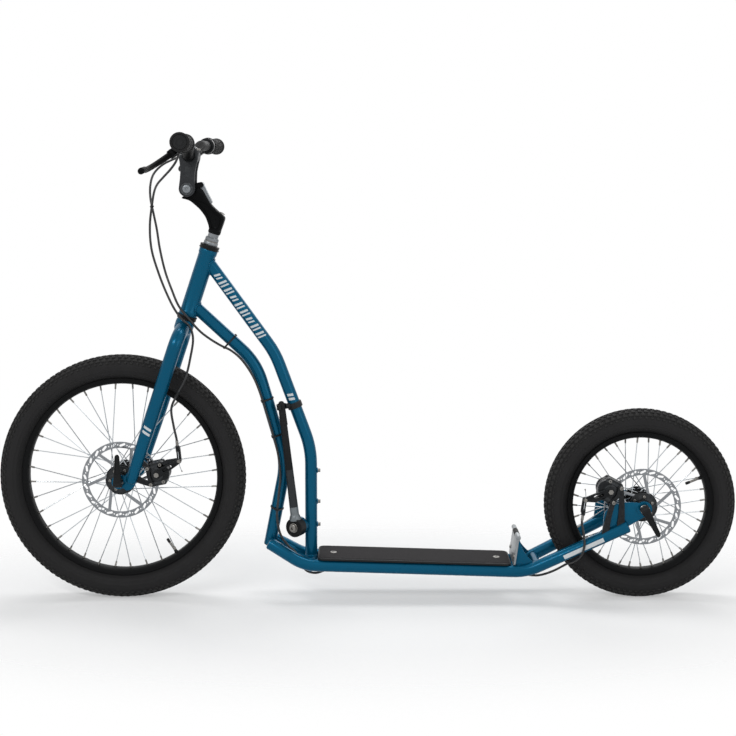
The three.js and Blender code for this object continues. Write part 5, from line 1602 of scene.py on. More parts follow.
    def cap(self) -> Dressed:
        """The clamp's upper cap, ribbed between its four screws."""
        at, lean, bar, outer = self.level(), self.arm_tilt, side_view(self.bar), self.clamp
        band = arc(bar, outer, lean, math.pi, 24) + arc(bar, self.bulge + 0.3, lean + math.pi, -math.pi, 24)
        ridge = (arc(bar, outer + 0.7, lean + math.pi / 4, math.pi / 2, 12)
                 + arc(bar, outer - 2, lean + math.pi * 0.75, -math.pi / 2, 12))
        up = (self.on_arm(1) - self.on_arm(0)).normalized()
        parts, screws = [plate(band, [], 42.2, at, 1.0), plate(ridge, [], 12, at, 0.6)], []
        for side in (-15.75, 15.75):
            for across in (-16.2, 16.2):
                foot = self.on_arm(self.arm_length + 1.2, across) + RIGHT * side
                top = at @ (foot + up * 9.6)
                parts.append(rod(at @ foot, top, 4.6, 28, ease=0.7))
                screws.append(socket_screw(top, HEAD_TURN @ up, 3.6, 3.4))
        return [(joined(parts), HARD_ANODISED), (joined(screws), ZINC)]

    def lock(self) -> Dressed:
        """The lock lever: a die-cast strip with a thumb ridge, on its pin."""
        lean = math.radians(46)
        along = Vector((math.sin(lean), 0, -math.cos(lean)))
        out = Vector((math.cos(lean), 0, math.sin(lean)))
        at, start = self.level(), self.lock_pivot
        strip = slot_outline(side_view(start), side_view(start + along * 40), 5.5, 4.0, 16)
        ridges = []
        for s in (31, 34, 37):
            spot = start + along * s + out * 4.0
            ridges.append(rod(at @ (spot + LEFT * 4.6), at @ (spot + RIGHT * 4.6), 0.8, 12, ease=0.2))
        pin = lathe(even([(AXIS, -9.5), (2.2, -9.5), (2.5, -9.2)]), at @ Matrix.Translation(start), 20)
        return [(joined([plate(strip, [], 12, at, 1.4), *ridges]), BLASTED), (pin, ZINC)]


@dataclass
class Cockpit:
    """The handlebar with its grips, brake levers and their clamps, in the steering's frame."""

    half_width: float = 300.0
    radius: float = 11.1
    grip_length: float = 118.0
    cap: float = 5.0

    @property
    def centre(self) -> Vector:
        """The bar's middle."""
        return Stem().bar

    @property
    def end(self) -> Vector:
        """The bar's left end."""
        return self.centre + Vector((13, -(self.half_width - self.cap - LAYOUT.seat), 27))

    @property
    def bend(self) -> Vector:
        """The left outer bend's corner."""
        return self.centre + Vector((4, -92, 23))

    @property
    def out(self) -> Vector:
        """The way out along the left half."""
        return (self.end - self.bend).normalized()

    def along(self, from_tip: float) -> Vector:
        """A place on the left half, so far from the grip's tip."""
        return self.end + self.out * (self.cap + LAYOUT.seat - from_tip)

    def build(self) -> None:
        """Makes the bar and what sits on it."""
        piece("swept_handlebar", self.bar(), Body.BARS, ["handlebar"])
        pair("ribbed_grip", self.grip(), "grip", Body.BARS, Body.BARS)
        pair("lever_perch", self.perch(), "lever_clamp", Body.BARS, Body.BARS)
        pair("lever_blade", self.lever(), "brake_lever", Body.LEFT_LEVER,
             Body.RIGHT_LEVER)

    def bar(self) -> Dressed:
        """The tube with its thicker middle."""
        half = [self.end, self.bend, self.centre + LEFT * 34]
        corners = half + [Vector((v.x, -v.y, v.z)) for v in half[::-1]]
        tube = sweep([HEAD_FRAME @ v for v in bent_path(corners, [45.0] * 4)], self.radius, 32)
        middle = HEAD_FRAME @ Matrix.Translation(self.centre)
        bulge = lathe(even([(11.0, -27.5), (12.2, -25.4), (12.7, -22.5)]), middle, 48)
        rings = [lathe([(12.65, y), (12.9, y + 0.2), (12.65, y + 0.4)], middle, 48) for y in (-24.2, 23.8)]
        return [(joined([tube, bulge, *rings]), FORGING_BLACK)]

    def grip(self) -> Dressed:
        """A rubber grip with fine rings, an inner collar and a closed, dished end."""
        n, count = self.grip_length, 34
        step = (n - 14.5) / count
        place = facing(HEAD_FRAME @ self.along(n), HEAD_TURN @ self.out)
        profile = [(11.6, 0), (17.6, 0), (18.5, 0.9), (18.5, 3.6), (17.6, 4.8), (16.4, 5.6)]
        for k in range(count):
            at, low = 7.0 + step * k, 15.6 + 0.35 * math.sin(math.pi * k / count)
            profile += [(low, at), (low + 0.8, at + step * 0.25), (low + 0.8, at + step * 0.6),
                        (low, at + step * 0.85)]
        end = [(16.4, 6.4), (17.8, 5.2), (18.5, 4.2), (18.5, 1.2), (17.6, 0.25), (14.6, 0), (13.6, 1.0),
               (13.6, 4.6), (11.6, 4.6)]
        cap = [(13.4, 4.4), (13.4, 1.1), (12.9, 0.5), (11.2, 0.5), (10.7, 1.2), (8.2, 1.2), (7.7, 0.6),
               (6.4, 0.6), (5.8, 1.8), (AXIS, 2.0), (AXIS, 4.4)]
        return [(lathe(profile + [(r, n - back) for r, back in end], place, 56), SOFT_RUBBER),
                (lathe([(r, n - back) for r, back in cap], place, 56), ABS)]

    @property
    def clamp(self) -> Vector:
        """Where the left lever's clamp sits on the bar."""
        return self.along(self.grip_length + 3 + 9)

    @property
    def lever_frame(self) -> Matrix:
        """The left lever's plane at its pin: X away from the bar, Y out along it."""
        angle = LAYOUT.head_tilt + math.radians(36)
        away = Vector((-math.cos(angle), 0, -math.sin(angle)))
        normal = away.cross(self.out).normalized()
        pin = self.clamp + away * 32
        columns = (away, self.out, normal)
        turn = Matrix([[c[i] for c in columns] for i in range(3)]).to_4x4()
        return HEAD_FRAME @ Matrix.Translation(pin) @ turn

    def flat(
        self, outline: Outline, holes: Sequence[Outline], thick: float, off: float, bevel: float
    ) -> Part:
        """A plate in the lever's plane.

        Args:
            outline: its edge, with X away from the bar and Y along it.
            holes: its holes.
            thick: its thickness.
            off: how far it lies from the lever's plane.
            bevel: its eased edge.

        Returns:
            The part.
        """
        turn = self.lever_frame @ shift(0, 0, off) @ Matrix.Rotation(math.pi / 2, 4, "X")
        edge, *rest = ([(u, -v) for u, v in loop] for loop in (outline, *holes))
        return plate(edge, rest, thick, turn, bevel)

    def perch(self) -> Dressed:
        """The lever's clamp: a split band, a forked arm, its pinch screw, pin and cable barrel."""
        frame, turned = self.lever_frame, HEAD_TURN @ self.out
        on_bar = facing(HEAD_FRAME @ self.clamp, turned)
        band = lathe(even([(11.5, -9), (15.8, -9), (17, -7.8)]), on_bar, 48)
        cheek = slot_outline((-18, 0), (0, 0), 8.6, 8.0)
        cheeks = [self.flat(cheek, [circle((0, 0), 3.1, 20)], 3.3, off, 0.9) for off in (-7.05, 7.05)]
        root = self.flat(slot_outline((-30, 0), (-18, 0), 8.4, 8.4, 10), [], 15.5, 0, 2.4)
        pin = rod(frame @ Vector((0, 0, -9.3)), frame @ Vector((0, 0, 9.3)), 2.9, ease=0.5)
        ear = rod(frame @ Vector((-41, 0, -9.4)), frame @ Vector((-41, 0, 9.4)), 5.0, ease=0.8)
        screw = socket_screw(frame @ Vector((-41, 0, 9.2)), (frame.to_3x3() @ UP).normalized(), 3.8, 3.0)
        knurl = [(AXIS, 6), (4.5, 6), (4.5, 11), (3.4, 11.4), (3.4, 12.6), (4.3, 13.0)]
        for k in range(9):
            knurl += [(4.5, 13.4 + k * 1.2), (4.2, 14.0 + k * 1.2)]
        knurl += [(4.5, 24.6), (4.0, 26.2), (3.4, 27), (3.2, 31), (2.9, 31), (2.9, 27), (AXIS, 27)]
        barrel = lathe(knurl, facing(frame @ Vector((-8.96, 0, 0)), (turned * -1).normalized()), 24)
        return [(joined([band, *cheeks, root, ear]), SATIN), (joined([pin, screw]), ZINC),
                (barrel, ANODISED)]

    def lever(self) -> Dressed:
        """The cast blade: a flat root with a boss, a curved finger hold and a rounded tip."""
        shares = [(0, 0), (0.1, 0.02), (0.42, 0.14), (0.78, 0.34), (0.94, 0.6), (0.92, 0.84), (1, 0.985)]
        path = smooth_path([(u * 58, v * 116, 0) for u, v in shares], 9)
        count = len(path)
        sizes = []
        for k in range(count):
            t = k / (count - 1)
            sizes.append(7.6 - 1.5 * min(1.0, t * 2.2) + 0.9 * max(0.0, (t - 0.9) / 0.1) ** 0.5)
        end = path[-1] - path[-2]
        for drop, share in ((1.6, 0.93), (2.9, 0.75), (3.7, 0.5), (4.1, 0.12)):
            path.append(path[count - 1] + end.normalized() * drop)
            sizes.append(sizes[count - 1] * share)
        frame = self.lever_frame
        blade = sweep([frame @ v for v in path], sizes, 24, flatten=(0.9, 1.0),
                      level=frame.to_3x3() @ Vector((0, 0, 1)))
        boss = self.flat(circle((0, 0), 7.8, 40), [circle((0, 0), 3.4, 24)], 9.8, 0, 0.9)
        nipple = self.flat(circle((12, 4), 4.4, 24), [], 10.4, 0, 0.8)
        return [(joined([blade, boss, nipple]), FORGING_BLACK)]


@dataclass
class Frame:
    """The welded tubes, dropouts, bridges and the small fittings on them."""

    radius: float = 12.7
    riser: float = -119.5
    rail_front: Point = (-204.0, -25.75, 119.0)
    rail_knee: Point = (-133.0, -38.0, 77.5)
    rail_rear: Point = (330.0, -40.0, 64.0)
    stay_end: Point = (534.0, -58.0, 164.0)
    upper_elbow: Point = (-193.5, 0.0, 517.3)
    upper_knee: float = 316.5
    lower_bends: tuple[Point, ...] = ((-233.0, 0.0, 497.0), (-172.0, 0.0, 286.0), (-206.5, 0.0, 112.0))

    def on_rail(self, x: float) -> float:
        """The height of the rails' middle line."""
        share = (x - self.rail_knee[0]) / (self.rail_rear[0] - self.rail_knee[0])
        return self.rail_knee[2] + (self.rail_rear[2] - self.rail_knee[2]) * share

    def on_stay(self, share: float) -> Vector:
        """A place on the left stay."""
        return Vector(self.rail_rear).lerp(Vector(self.stay_end), share)

    def stay_at(self, x: float) -> Vector:
        """The place on the left stay at a distance along the bike."""
        return self.on_stay((x - self.rail_rear[0]) / (self.stay_end[0] - self.rail_rear[0]))

    @property
    def upper_line(self) -> list[Vector]:
        """The upper tube's corners, from the steering axis to the front bridge."""
        knee, foot = (Vector((self.riser, 0, z)) for z in (self.upper_knee, self.on_rail(self.riser) + 11))
        return [LAYOUT.on_head(490), Vector(self.upper_elbow), knee, foot]

    @property
    def lower_line(self) -> list[Vector]:
        """The lower tube's corners, from the steering axis to its foot between the rails."""
        return [LAYOUT.on_head(392), *(Vector(bend) for bend in self.lower_bends)]

    def build(self) -> None:
        """Makes the frame's pieces."""
        piece("upper_frame_tube", self.top_tube(), Body.FRAME, ["top_tube"])
        piece("lower_frame_tube", self.lower_tube(), Body.FRAME, ["lower_tube"])
        front, rear = Vector((self.riser, 0, self.on_rail(self.riser))), self.stay_at(352)
        piece("front_bridge_tube", self.bridge(front, self.radius, 27.5), Body.FRAME, ["front_cross_tube"])
        piece("rear_bridge_tube", self.bridge(Vector((rear.x, 0, rear.z)), 10.0, 30.5), Body.FRAME,
              ["rear_cross_tube"])
        pair("rail_and_stay", self.rail(), "rail")
        pair("rear_dropout", self.dropout(), "dropout")

    def coped(self, path: list[Vector], main: Vector, axis: Vector, reach: float) -> Part:
        """A tube whose first end is cut to fit a round one.

        Args:
            path: its middle line.
            main: a place on the other tube's middle line.
            axis: the other tube's direction.
            reach: the other tube's radius.

        Returns:
            The part.
        """
        verts, faces = sweep(path, self.radius, 40)
        along = (path[1] - path[0]).normalized()
        for k in range(40):
            verts[k] = slide(verts[k], along, main, axis, reach)
        return verts, faces

    def to_head(self, corners: list[Vector], bends: list[float]) -> Dressed:
        """A tube that leaves the head tube, with its weld.

        Args:
            corners: its corners, from the steering axis on.
            bends: its bend radii.

        Returns:
            The parts.
        """
        axis = HEAD_TURN @ UP
        path = bent_path(corners, bends)
        along = (path[1] - path[0]).normalized()
        path[0] = path[0] + along * 22
        tube = self.coped(path, corners[0], axis, 17.0)
        line = saddle(corners[0], along, self.radius + 0.2, corners[0], axis, 18.0, 64)
        return [(tube, ENAMEL), (weld(line, 2.0), ENAMEL)]

    def top_tube(self) -> Dressed:
        """The upper tube down to the front bridge, with its three accessory screws."""
        corners = self.upper_line
        bridge = Vector((self.riser, 0, self.on_rail(self.riser)))
        seam = saddle(bridge, UP, self.radius + 0.2, bridge, RIGHT, self.radius, 64)
        parts = [*self.to_head(corners, [190.0, 190.0]), (weld(seam, 1.9), ENAMEL)]
        for height in (269, 203, 154):
            spot = Vector((self.riser + self.radius - 0.6, 0, height))
            parts += [(rod(spot, spot + BACK * 2.2, 5.6, ease=0.6), ENAMEL),
                      (socket_screw(spot + BACK * 2.0, BACK, 3.9, 5.4), ZINC)]
        return [*parts, (self.upper_marks(corners), PRINT)]

    def upper_marks(self, corners: list[Vector]) -> Part:
        """Slanted pale bars on both sides of the upper tube, and two short ones above the stand's clip.

        Args:
            corners: the upper tube's corners.

        Returns:
            The part.
        """
        head, elbow, knee, _ = corners
        bars = []
        for side in (LEFT, RIGHT):
            for k in range(9):
                tall, start = 0.72 if k % 3 else 0.5, 37 + 18.6 * k
                for off, long in ((0.0, 4.6), (8.4, 3.4)):
                    bars.append(printed_bar(head, elbow, self.radius, side, start + off, long,
                                            -tall, tall, 4.2))
            for at in (88, 97):
                bars.append(printed_bar(elbow, knee, self.radius, side, at, 5.5, -0.5, 0.5, 2.5))
        return joined(bars)

    def lower_tube(self) -> Dressed:
        """The lower tube from the head down between the rails, with a plug in its foot."""
        corners = self.lower_line
        foot = facing(corners[3], (corners[3] - corners[2]).normalized())
        plug = lathe([(AXIS, 3.2), (9.0, 3.0), (12.0, 1.8), (12.6, 0.2), (12.6, -3), (AXIS, -3)], foot, 40)
        return [*self.to_head(corners, [150.0, 150.0]), (plug, ABS)]

    def rail(self) -> Dressed:
        """The left rail and stay in one bent tube with domed ends, with its welds to the lower tube."""
        corners = [Vector(p) for p in (self.rail_front, self.rail_knee, self.rail_rear, self.stay_end)]
        front, knee, rear, end = corners
        path, r = bent_path(corners, [90.0, 110.0]), self.radius
        back, ahead = (path[0] - path[1]).normalized(), (path[-1] - path[-2]).normalized()
        reaches, ends = (4.2, 3.8, 2.4), [r * 0.3, r * 0.72, r * 0.94]
        line = [path[0] + back * n for n in reaches] + path + [path[-1] + ahead * n for n in reaches[::-1]]
        tube = sweep(line, ends + [r] * len(path) + ends[::-1], 40)
        seam = []
        for t in shares(16):
            spot = front.lerp(knee, -0.03 + t * 0.28)
            seam.append(Vector((spot.x - 3 + 5 * t, -11.6 - 2.2 * t, spot.z + 7.5 - 2 * t)))
        low = [Vector((v.x - 4, v.y, v.z - 15)) for v in seam]
        stripe = printed_bar(rear, end, r, LEFT, 84, 90, -0.5, 0.24)
        return [(tube, ENAMEL), (open_weld(seam), ENAMEL), (open_weld(low), ENAMEL), (stripe, PRINT)]

    def bridge(self, middle: Vector, radius: float, half: float) -> Dressed:
        """A straight cross tube with a weld ring at each end.

        Args:
            middle: its middle.
            radius: its radius.
            half: how far it reaches to each side.

        Returns:
            The parts.
        """
        parts = [(rod(middle + LEFT * half, middle + RIGHT * half, radius, 36), ENAMEL)]
        for way in (-1, 1):
            line = []
            for k in range(48):
                angle = 2 * math.pi * k / 48
                rise = radius * math.sin(angle)
                inset = self.radius - math.sqrt(max(self.radius ** 2 - rise * rise, 0.0))
                line.append(middle + about_y(radius, angle, way * (half - 1.6 + inset * 0.9)))
            parts.append((weld(line, 1.7), ENAMEL))
        return parts

    def dropout(self) -> Dressed:
        """The left rear dropout: a cut plate on the stay with a thick eye, and its weld beads."""
        hub, end = LAYOUT.rear_hub, self.stay_end
        foot = self.stay_at(hub.x - 88)
        crest = ((-82, -7), (-71, 5), (-54, 12), (-34, 14.5), (-14, 13.5), (13.2, 8), (14.4, -8))
        corners = [(hub.x - 87, foot.z + 2), *[(hub.x + u, hub.z + v) for u, v in crest],
                   (end[0] + 2, end[2] - 1)]
        hole, axle = circle(side_view(hub), LAYOUT.eye, 28), LAYOUT.leaf @ Matrix.Translation(hub)
        leaf = plate(eased(corners, 7, 4), [hole], LAYOUT.dropout, LAYOUT.leaf, 0.7)
        eye = lathe(even([(5.0, -3.2), (15.6, -3.2), (15.9, -2.9)]), axle, 56)
        face = lathe([(5.0, -3.45), (10.4, -3.45), (10.6, -3.1), (5.0, -3.1)], axle, 48)
        bead = [self.on_stay(0.765 + 0.225 * t) + Vector((-5.2, 3.4 - 3.2 * t, 12.1)) for t in shares(20)]
        return [(joined([leaf, eye, face]), ENAMEL), (open_weld(bead), ENAMEL)]


def ribbon(path: Sequence[Spot], halves: Sequence[float]) -> Outline:
    """The outline of a flat strip along a path.

    Args:
        path: the places of its middle line.
        halves: half of its width at each place.

    Returns:
        The outline.
    """
    near, far = [], []
    for k, ((u, v), half) in enumerate(zip(path, halves)):
        before, after = path[max(k - 1, 0)], path[min(k + 1, len(path) - 1)]
        along = Vector((after[0] - before[0], after[1] - before[1])).normalized() * half
        near.append((u - along.y, v + along.x))
        far.append((u + along.y, v - along.x))
    return near + far[::-1]


def oblong(low: Spot, high: Spot, radius: float, steps: int = 5) -> Outline:
    """A rectangle between two corners, with its corners rounded."""
    return eased([low, (high[0], low[1]), high, (low[0], high[1])], radius, steps)


@dataclass
class Deck:
    """The standing board, the plate at its rear end and the gussets behind that."""

    front: float = -105.3
    length: float = 404.0
    width: float = 98.0
    slope: float = 0.02915
    stop: float = 301.7
    lean: float = math.radians(8)
    rise: float = 62.0
    frame: Frame = field(default_factory=Frame)

    def build(self) -> None:
        """Makes the deck's pieces."""
        piece("standing_board", self.board(), Body.FRAME, ["deck_board"])
        piece("rear_stop_plate", self.upright(), Body.FRAME, ["foot_stop_plate"])
        pair("stop_gusset", self.gusset(), "gusset")

    def on_rails(self, x: float, tilt: float, sunk: float = 0.0) -> Matrix:
        """A tilted frame that stands on the rails, or is sunk between them."""
        height = self.frame.on_rail(x) + self.frame.radius + LAYOUT.seat - sunk
        return hub_frame(Vector((x, 0, height)), tilt)

    def board(self) -> Dressed:
        """The board: a moulded tray with an abrasive sheet let into it, held by two countersunk screws."""
        place, n, half = self.on_rails(self.front, self.slope), self.length, self.width / 2
        lying, up = Matrix.Rotation(math.pi / 2, 4, "X"), place.to_3x3() @ UP
        tray = plate(oblong((0, -half), (n, half), 16, 8), [], 4.5, place @ shift(0, 0, 2.25) @ lying, 1.3)
        sheet = plate(oblong((3, 3 - half), (n - 3, half - 3), 13, 8), [], 1.2,
                      place @ shift(0, 0, 4.4) @ lying, 0.3)
        cup = [(3.2, 0.3), (6.4, 0.35), (6.8, 0.1), (6.8, -0.6), (3.2, -0.6)]
        parts = [(tray, ABS), (sheet, GRIT)]
        for along in (32.4, n - 28.0):
            parts += [(lathe(cup, facing(place @ Vector((along, 0, 4.9)), up), 32), ZINC),
                      (socket_screw(place @ Vector((along, 0, 3.6)), up, 3.9, 1.5, domed=True), ZINC)]
        return parts

    def upright(self) -> Dressed:
        """The leaning plate of sheet, its upper edge rolled over, with a rubber sleeve on the roll."""
        place = self.on_rails(self.stop, self.lean, 3)
        turn = shift(2, 0, 0) @ Matrix.Rotation(math.pi / 2, 4, "Z")
        leaf = plate(oblong((-46, 2.8), (46, self.rise), 5, 4), [], 4.0, place @ turn, 0.6)
        roll = even([(AXIS, -46), (3.6, -46), (4.6, -45.6), (5.0, -44.8)])
        sleeve = even([(4.9, -17), (5.5, -16.2), (5.6, -14)])
        edge = place @ shift(2, 0, self.rise)
        screws = [socket_screw(place @ Vector((0, y, 20)), place.to_3x3() @ -BACK, 4.2, 2.0, domed=True)
                  for y in (-38, 38)]
        return [(leaf, SHEET), (lathe(roll, edge, 32), SHEET), (lathe(sleeve, edge, 32), SOFT_RUBBER),
                (joined(screws), ZINC)]

    def gusset(self) -> Dressed:
        """The left gusset, from the plate's top in a hollow curve down to the stay."""
        x = self.stop + 4.5
        base = self.frame.on_rail(x)
        foot, top, toe = base + 6.35, base + 64.7, base + 12.7
        start, bend = Vector((x + (top - foot) * math.tan(self.lean), top)), Vector((x + 17.5, toe + 15.6))
        hollow = rounding(start, bend, Vector(side_view(self.frame.stay_at(x + 50))), 20)
        edge = [(x, foot), (start.x - 1.5, start.y), (start.x + 1.5, start.y - 0.4)]
        edge += [(spot.x + 1.2 * (1 - t), spot.y) for spot, t in zip(hollow[1:], shares(20)[1:])]
        leaf = plate(edge, [], 4.0, shift(0, -38, 0), 0.7)
        seam = [x + 3 + 24 * t for t in shares(12)]
        bead = open_weld([Vector((at, -40.2, self.frame.on_rail(at) + 12.9)) for at in seam])
        return [(leaf, ENAMEL), (bead, ENAMEL)]


@dataclass
class SideStand:
    """The folding stand, its bracket on the upper tube's foot, and the clip that holds it up."""

    pivot: Point = (-150.0, -22.0, 153.5)
    turn: float = math.radians(60)
    lean: float = math.radians(6.5)
    length: float = 268.0
    held: float = 256.0
    frame: Frame = field(default_factory=Frame)

    @property
    def axis(self) -> Vector:
        """The stand's hinge axis, pointing inwards."""
        return Vector((math.cos(self.turn), math.sin(self.turn), 0))

    @property
    def up(self) -> Vector:
        """The way that the folded rod points."""
        return Vector((-math.sin(self.lean), 0, math.cos(self.lean)))

    def build(self) -> None:
        """Makes the stand's pieces."""
        piece("folding_stand_leg", self.leg(), Body.SIDE_STAND, ["stand_leg"])
        piece("stand_hinge_bracket", self.bracket(), Body.FRAME, ["stand_bracket"])
        piece("stand_holding_clip", self.clip(), Body.FRAME, ["stand_clip"])

    def thickness(self, along: float) -> float:
        """The tapered rod's radius at a distance from its hinge."""
        return 9.5 - 3.0 * along / self.length

    def leg(self) -> Dressed:
        """The boss with its dished face, the tapered rod and its rubber foot."""
        at, up, n = Vector(self.pivot), self.up, self.length
        boss = lathe([(5.75, -10), (11.2, -10), (11.8, -9.2), (16.8, -9.2), (17.6, -9.9), (18.8, -9.9),
                      (19.9, -8.8), (19.9, 8.8), (18.8, 9.9), (5.75, 9.9)], facing(at, self.axis), 64)
        high = n - 50
        marks = (17.5, 43.5, high - 95, high)
        bare, worn, painted = (
            sweep([at + up * low, at + up * far], [self.thickness(low), self.thickness(far)], 32)
            for low, far in zip(marks, marks[1:]))
        collar = sweep([at + up * along for along in (15, 19, 24, 27)], [12.4, 12.2, 10.6, 9.0], 32)
        wide = self.thickness(high) + 1.0
        form = [(high - 1, wide - 0.8), (high - 0.6, wide - 0.1), (high + 1, wide)]
        for k in range(5):
            groove = high + 8 + 6 * k
            edge = wide - 0.024 * (groove - high)
            form += [(groove - 0.8, edge), (groove, edge - 0.45), (groove + 0.8, edge)]
        form += [(n - 8, 6.6), (n - 4, 6.0), (n - 1.4, 4.4), (n - 0.3, 2.0)]
        foot = sweep([at + up * along for along, _ in form], [size for _, size in form], 32)
        return [(boss, SATIN), (joined([bare, collar]), BARE), (worn, RUBBED), (painted, SATIN),
                (foot, SOFT_RUBBER)]

    def bracket(self) -> Dressed:
        """The round seat behind the boss, its lug to the upper tube's foot, and the hinge bolt."""
        at, axis, seat = Vector(self.pivot), self.axis, 10 + LAYOUT.seat
        hinge = facing(at, axis)
        disc = lathe([(AXIS, seat), (17.8, seat), (19.0, seat + 1), (19.0, seat + 6), (17.8, seat + 7),
                      (AXIS, seat + 7)], hinge, 56)
        middle = at + axis * (seat + 3.5)
        main = Vector((self.frame.riser, 0, self.pivot[2]))
        way = (main - middle).normalized()
        lug = sweep([middle, main - way * 9], 9.0, 32)
        seam = weld(saddle(middle, way * -1, 9.2, main, UP, 12.9, 48), 1.6)
        bolt = rod(at + axis * seat, at - axis * 10.2, 5.0)
        ring = [(5.1, -10.05), (9.6, -10.05), (9.9, -10.3), (9.9, -11.2), (9.5, -11.5), (5.1, -11.5)]
        washer = lathe(ring, hinge, 40)
        head = socket_screw(at - axis * 11.4, axis * -1, 7.8, 3.9)
        return [(joined([disc, lug, seam]), ENAMEL), (joined([bolt, washer, head]), ZINC)]

    def clip(self) -> Dressed:
        """A moulded band round the upper tube, with an open hook for the rod."""
        spot = Vector(self.pivot) + self.up * self.held
        _, elbow, knee, _ = self.frame.upper_line
        on_tube = elbow.lerp(knee, (elbow.z - spot.z) / (elbow.z - knee.z))
        gap = (spot - on_tube).normalized()
        hold = self.thickness(self.held) + 1.2
        down = facing(on_tube, (elbow - knee).normalized())
        band = lathe(even([(13.05, -6), (15.2, -6), (15.7, -5.4)]), down, 48)
        bridge = sweep([on_tube + gap * 13.4, spot - gap * (hold + 0.4)], 5.6, 24)
        screw = socket_screw(on_tube - gap * 15.2, gap * -1, 3.4, 2.4, domed=True)
        return [(joined([band, self.hook(spot, hold), bridge]), ABS), (screw, ZINC)]

    def hook(self, spot: Vector, hold: float) -> Part:
        """The clip's open ring, with eased edges.

        Args:
            spot: its middle, on the folded rod.
            hold: its inner radius.

        Returns:
            The part.
        """
        mouth = self.axis.cross(self.up).normalized()
        side = self.up.cross(mouth).normalized()
        start = math.radians(62)
        rays = [mouth * math.cos(angle) + side * math.sin(angle)
                for angle in (start + (2 * math.pi - 2 * start) * t for t in shares(32))]
        verts, faces = [], []
        for lift, thin in ((-6, 0.5), (-5.4, 0.0), (5.4, 0.0), (6, 0.5)):
            for ray in rays:
                verts += [spot + ray * (hold + thin * 0.4) + self.up * lift,
                          spot + ray * (hold + 2.7 - thin) + self.up * lift]
        row = 2 * len(rays)
        for base in range(0, 3 * row, row):
            faces += [(a, a + 2, a + 2 + row, a + row) for a in range(base, base + row - 2)]
            faces += [(a, a + 1, a + 1 + row, a + row) for a in (base, base + row - 2)]
        for base in (0, 3 * row):
            faces += [(a, a + 1, a + 3, a + 2) for a in range(base, base + row - 2, 2)]
        return verts, faces


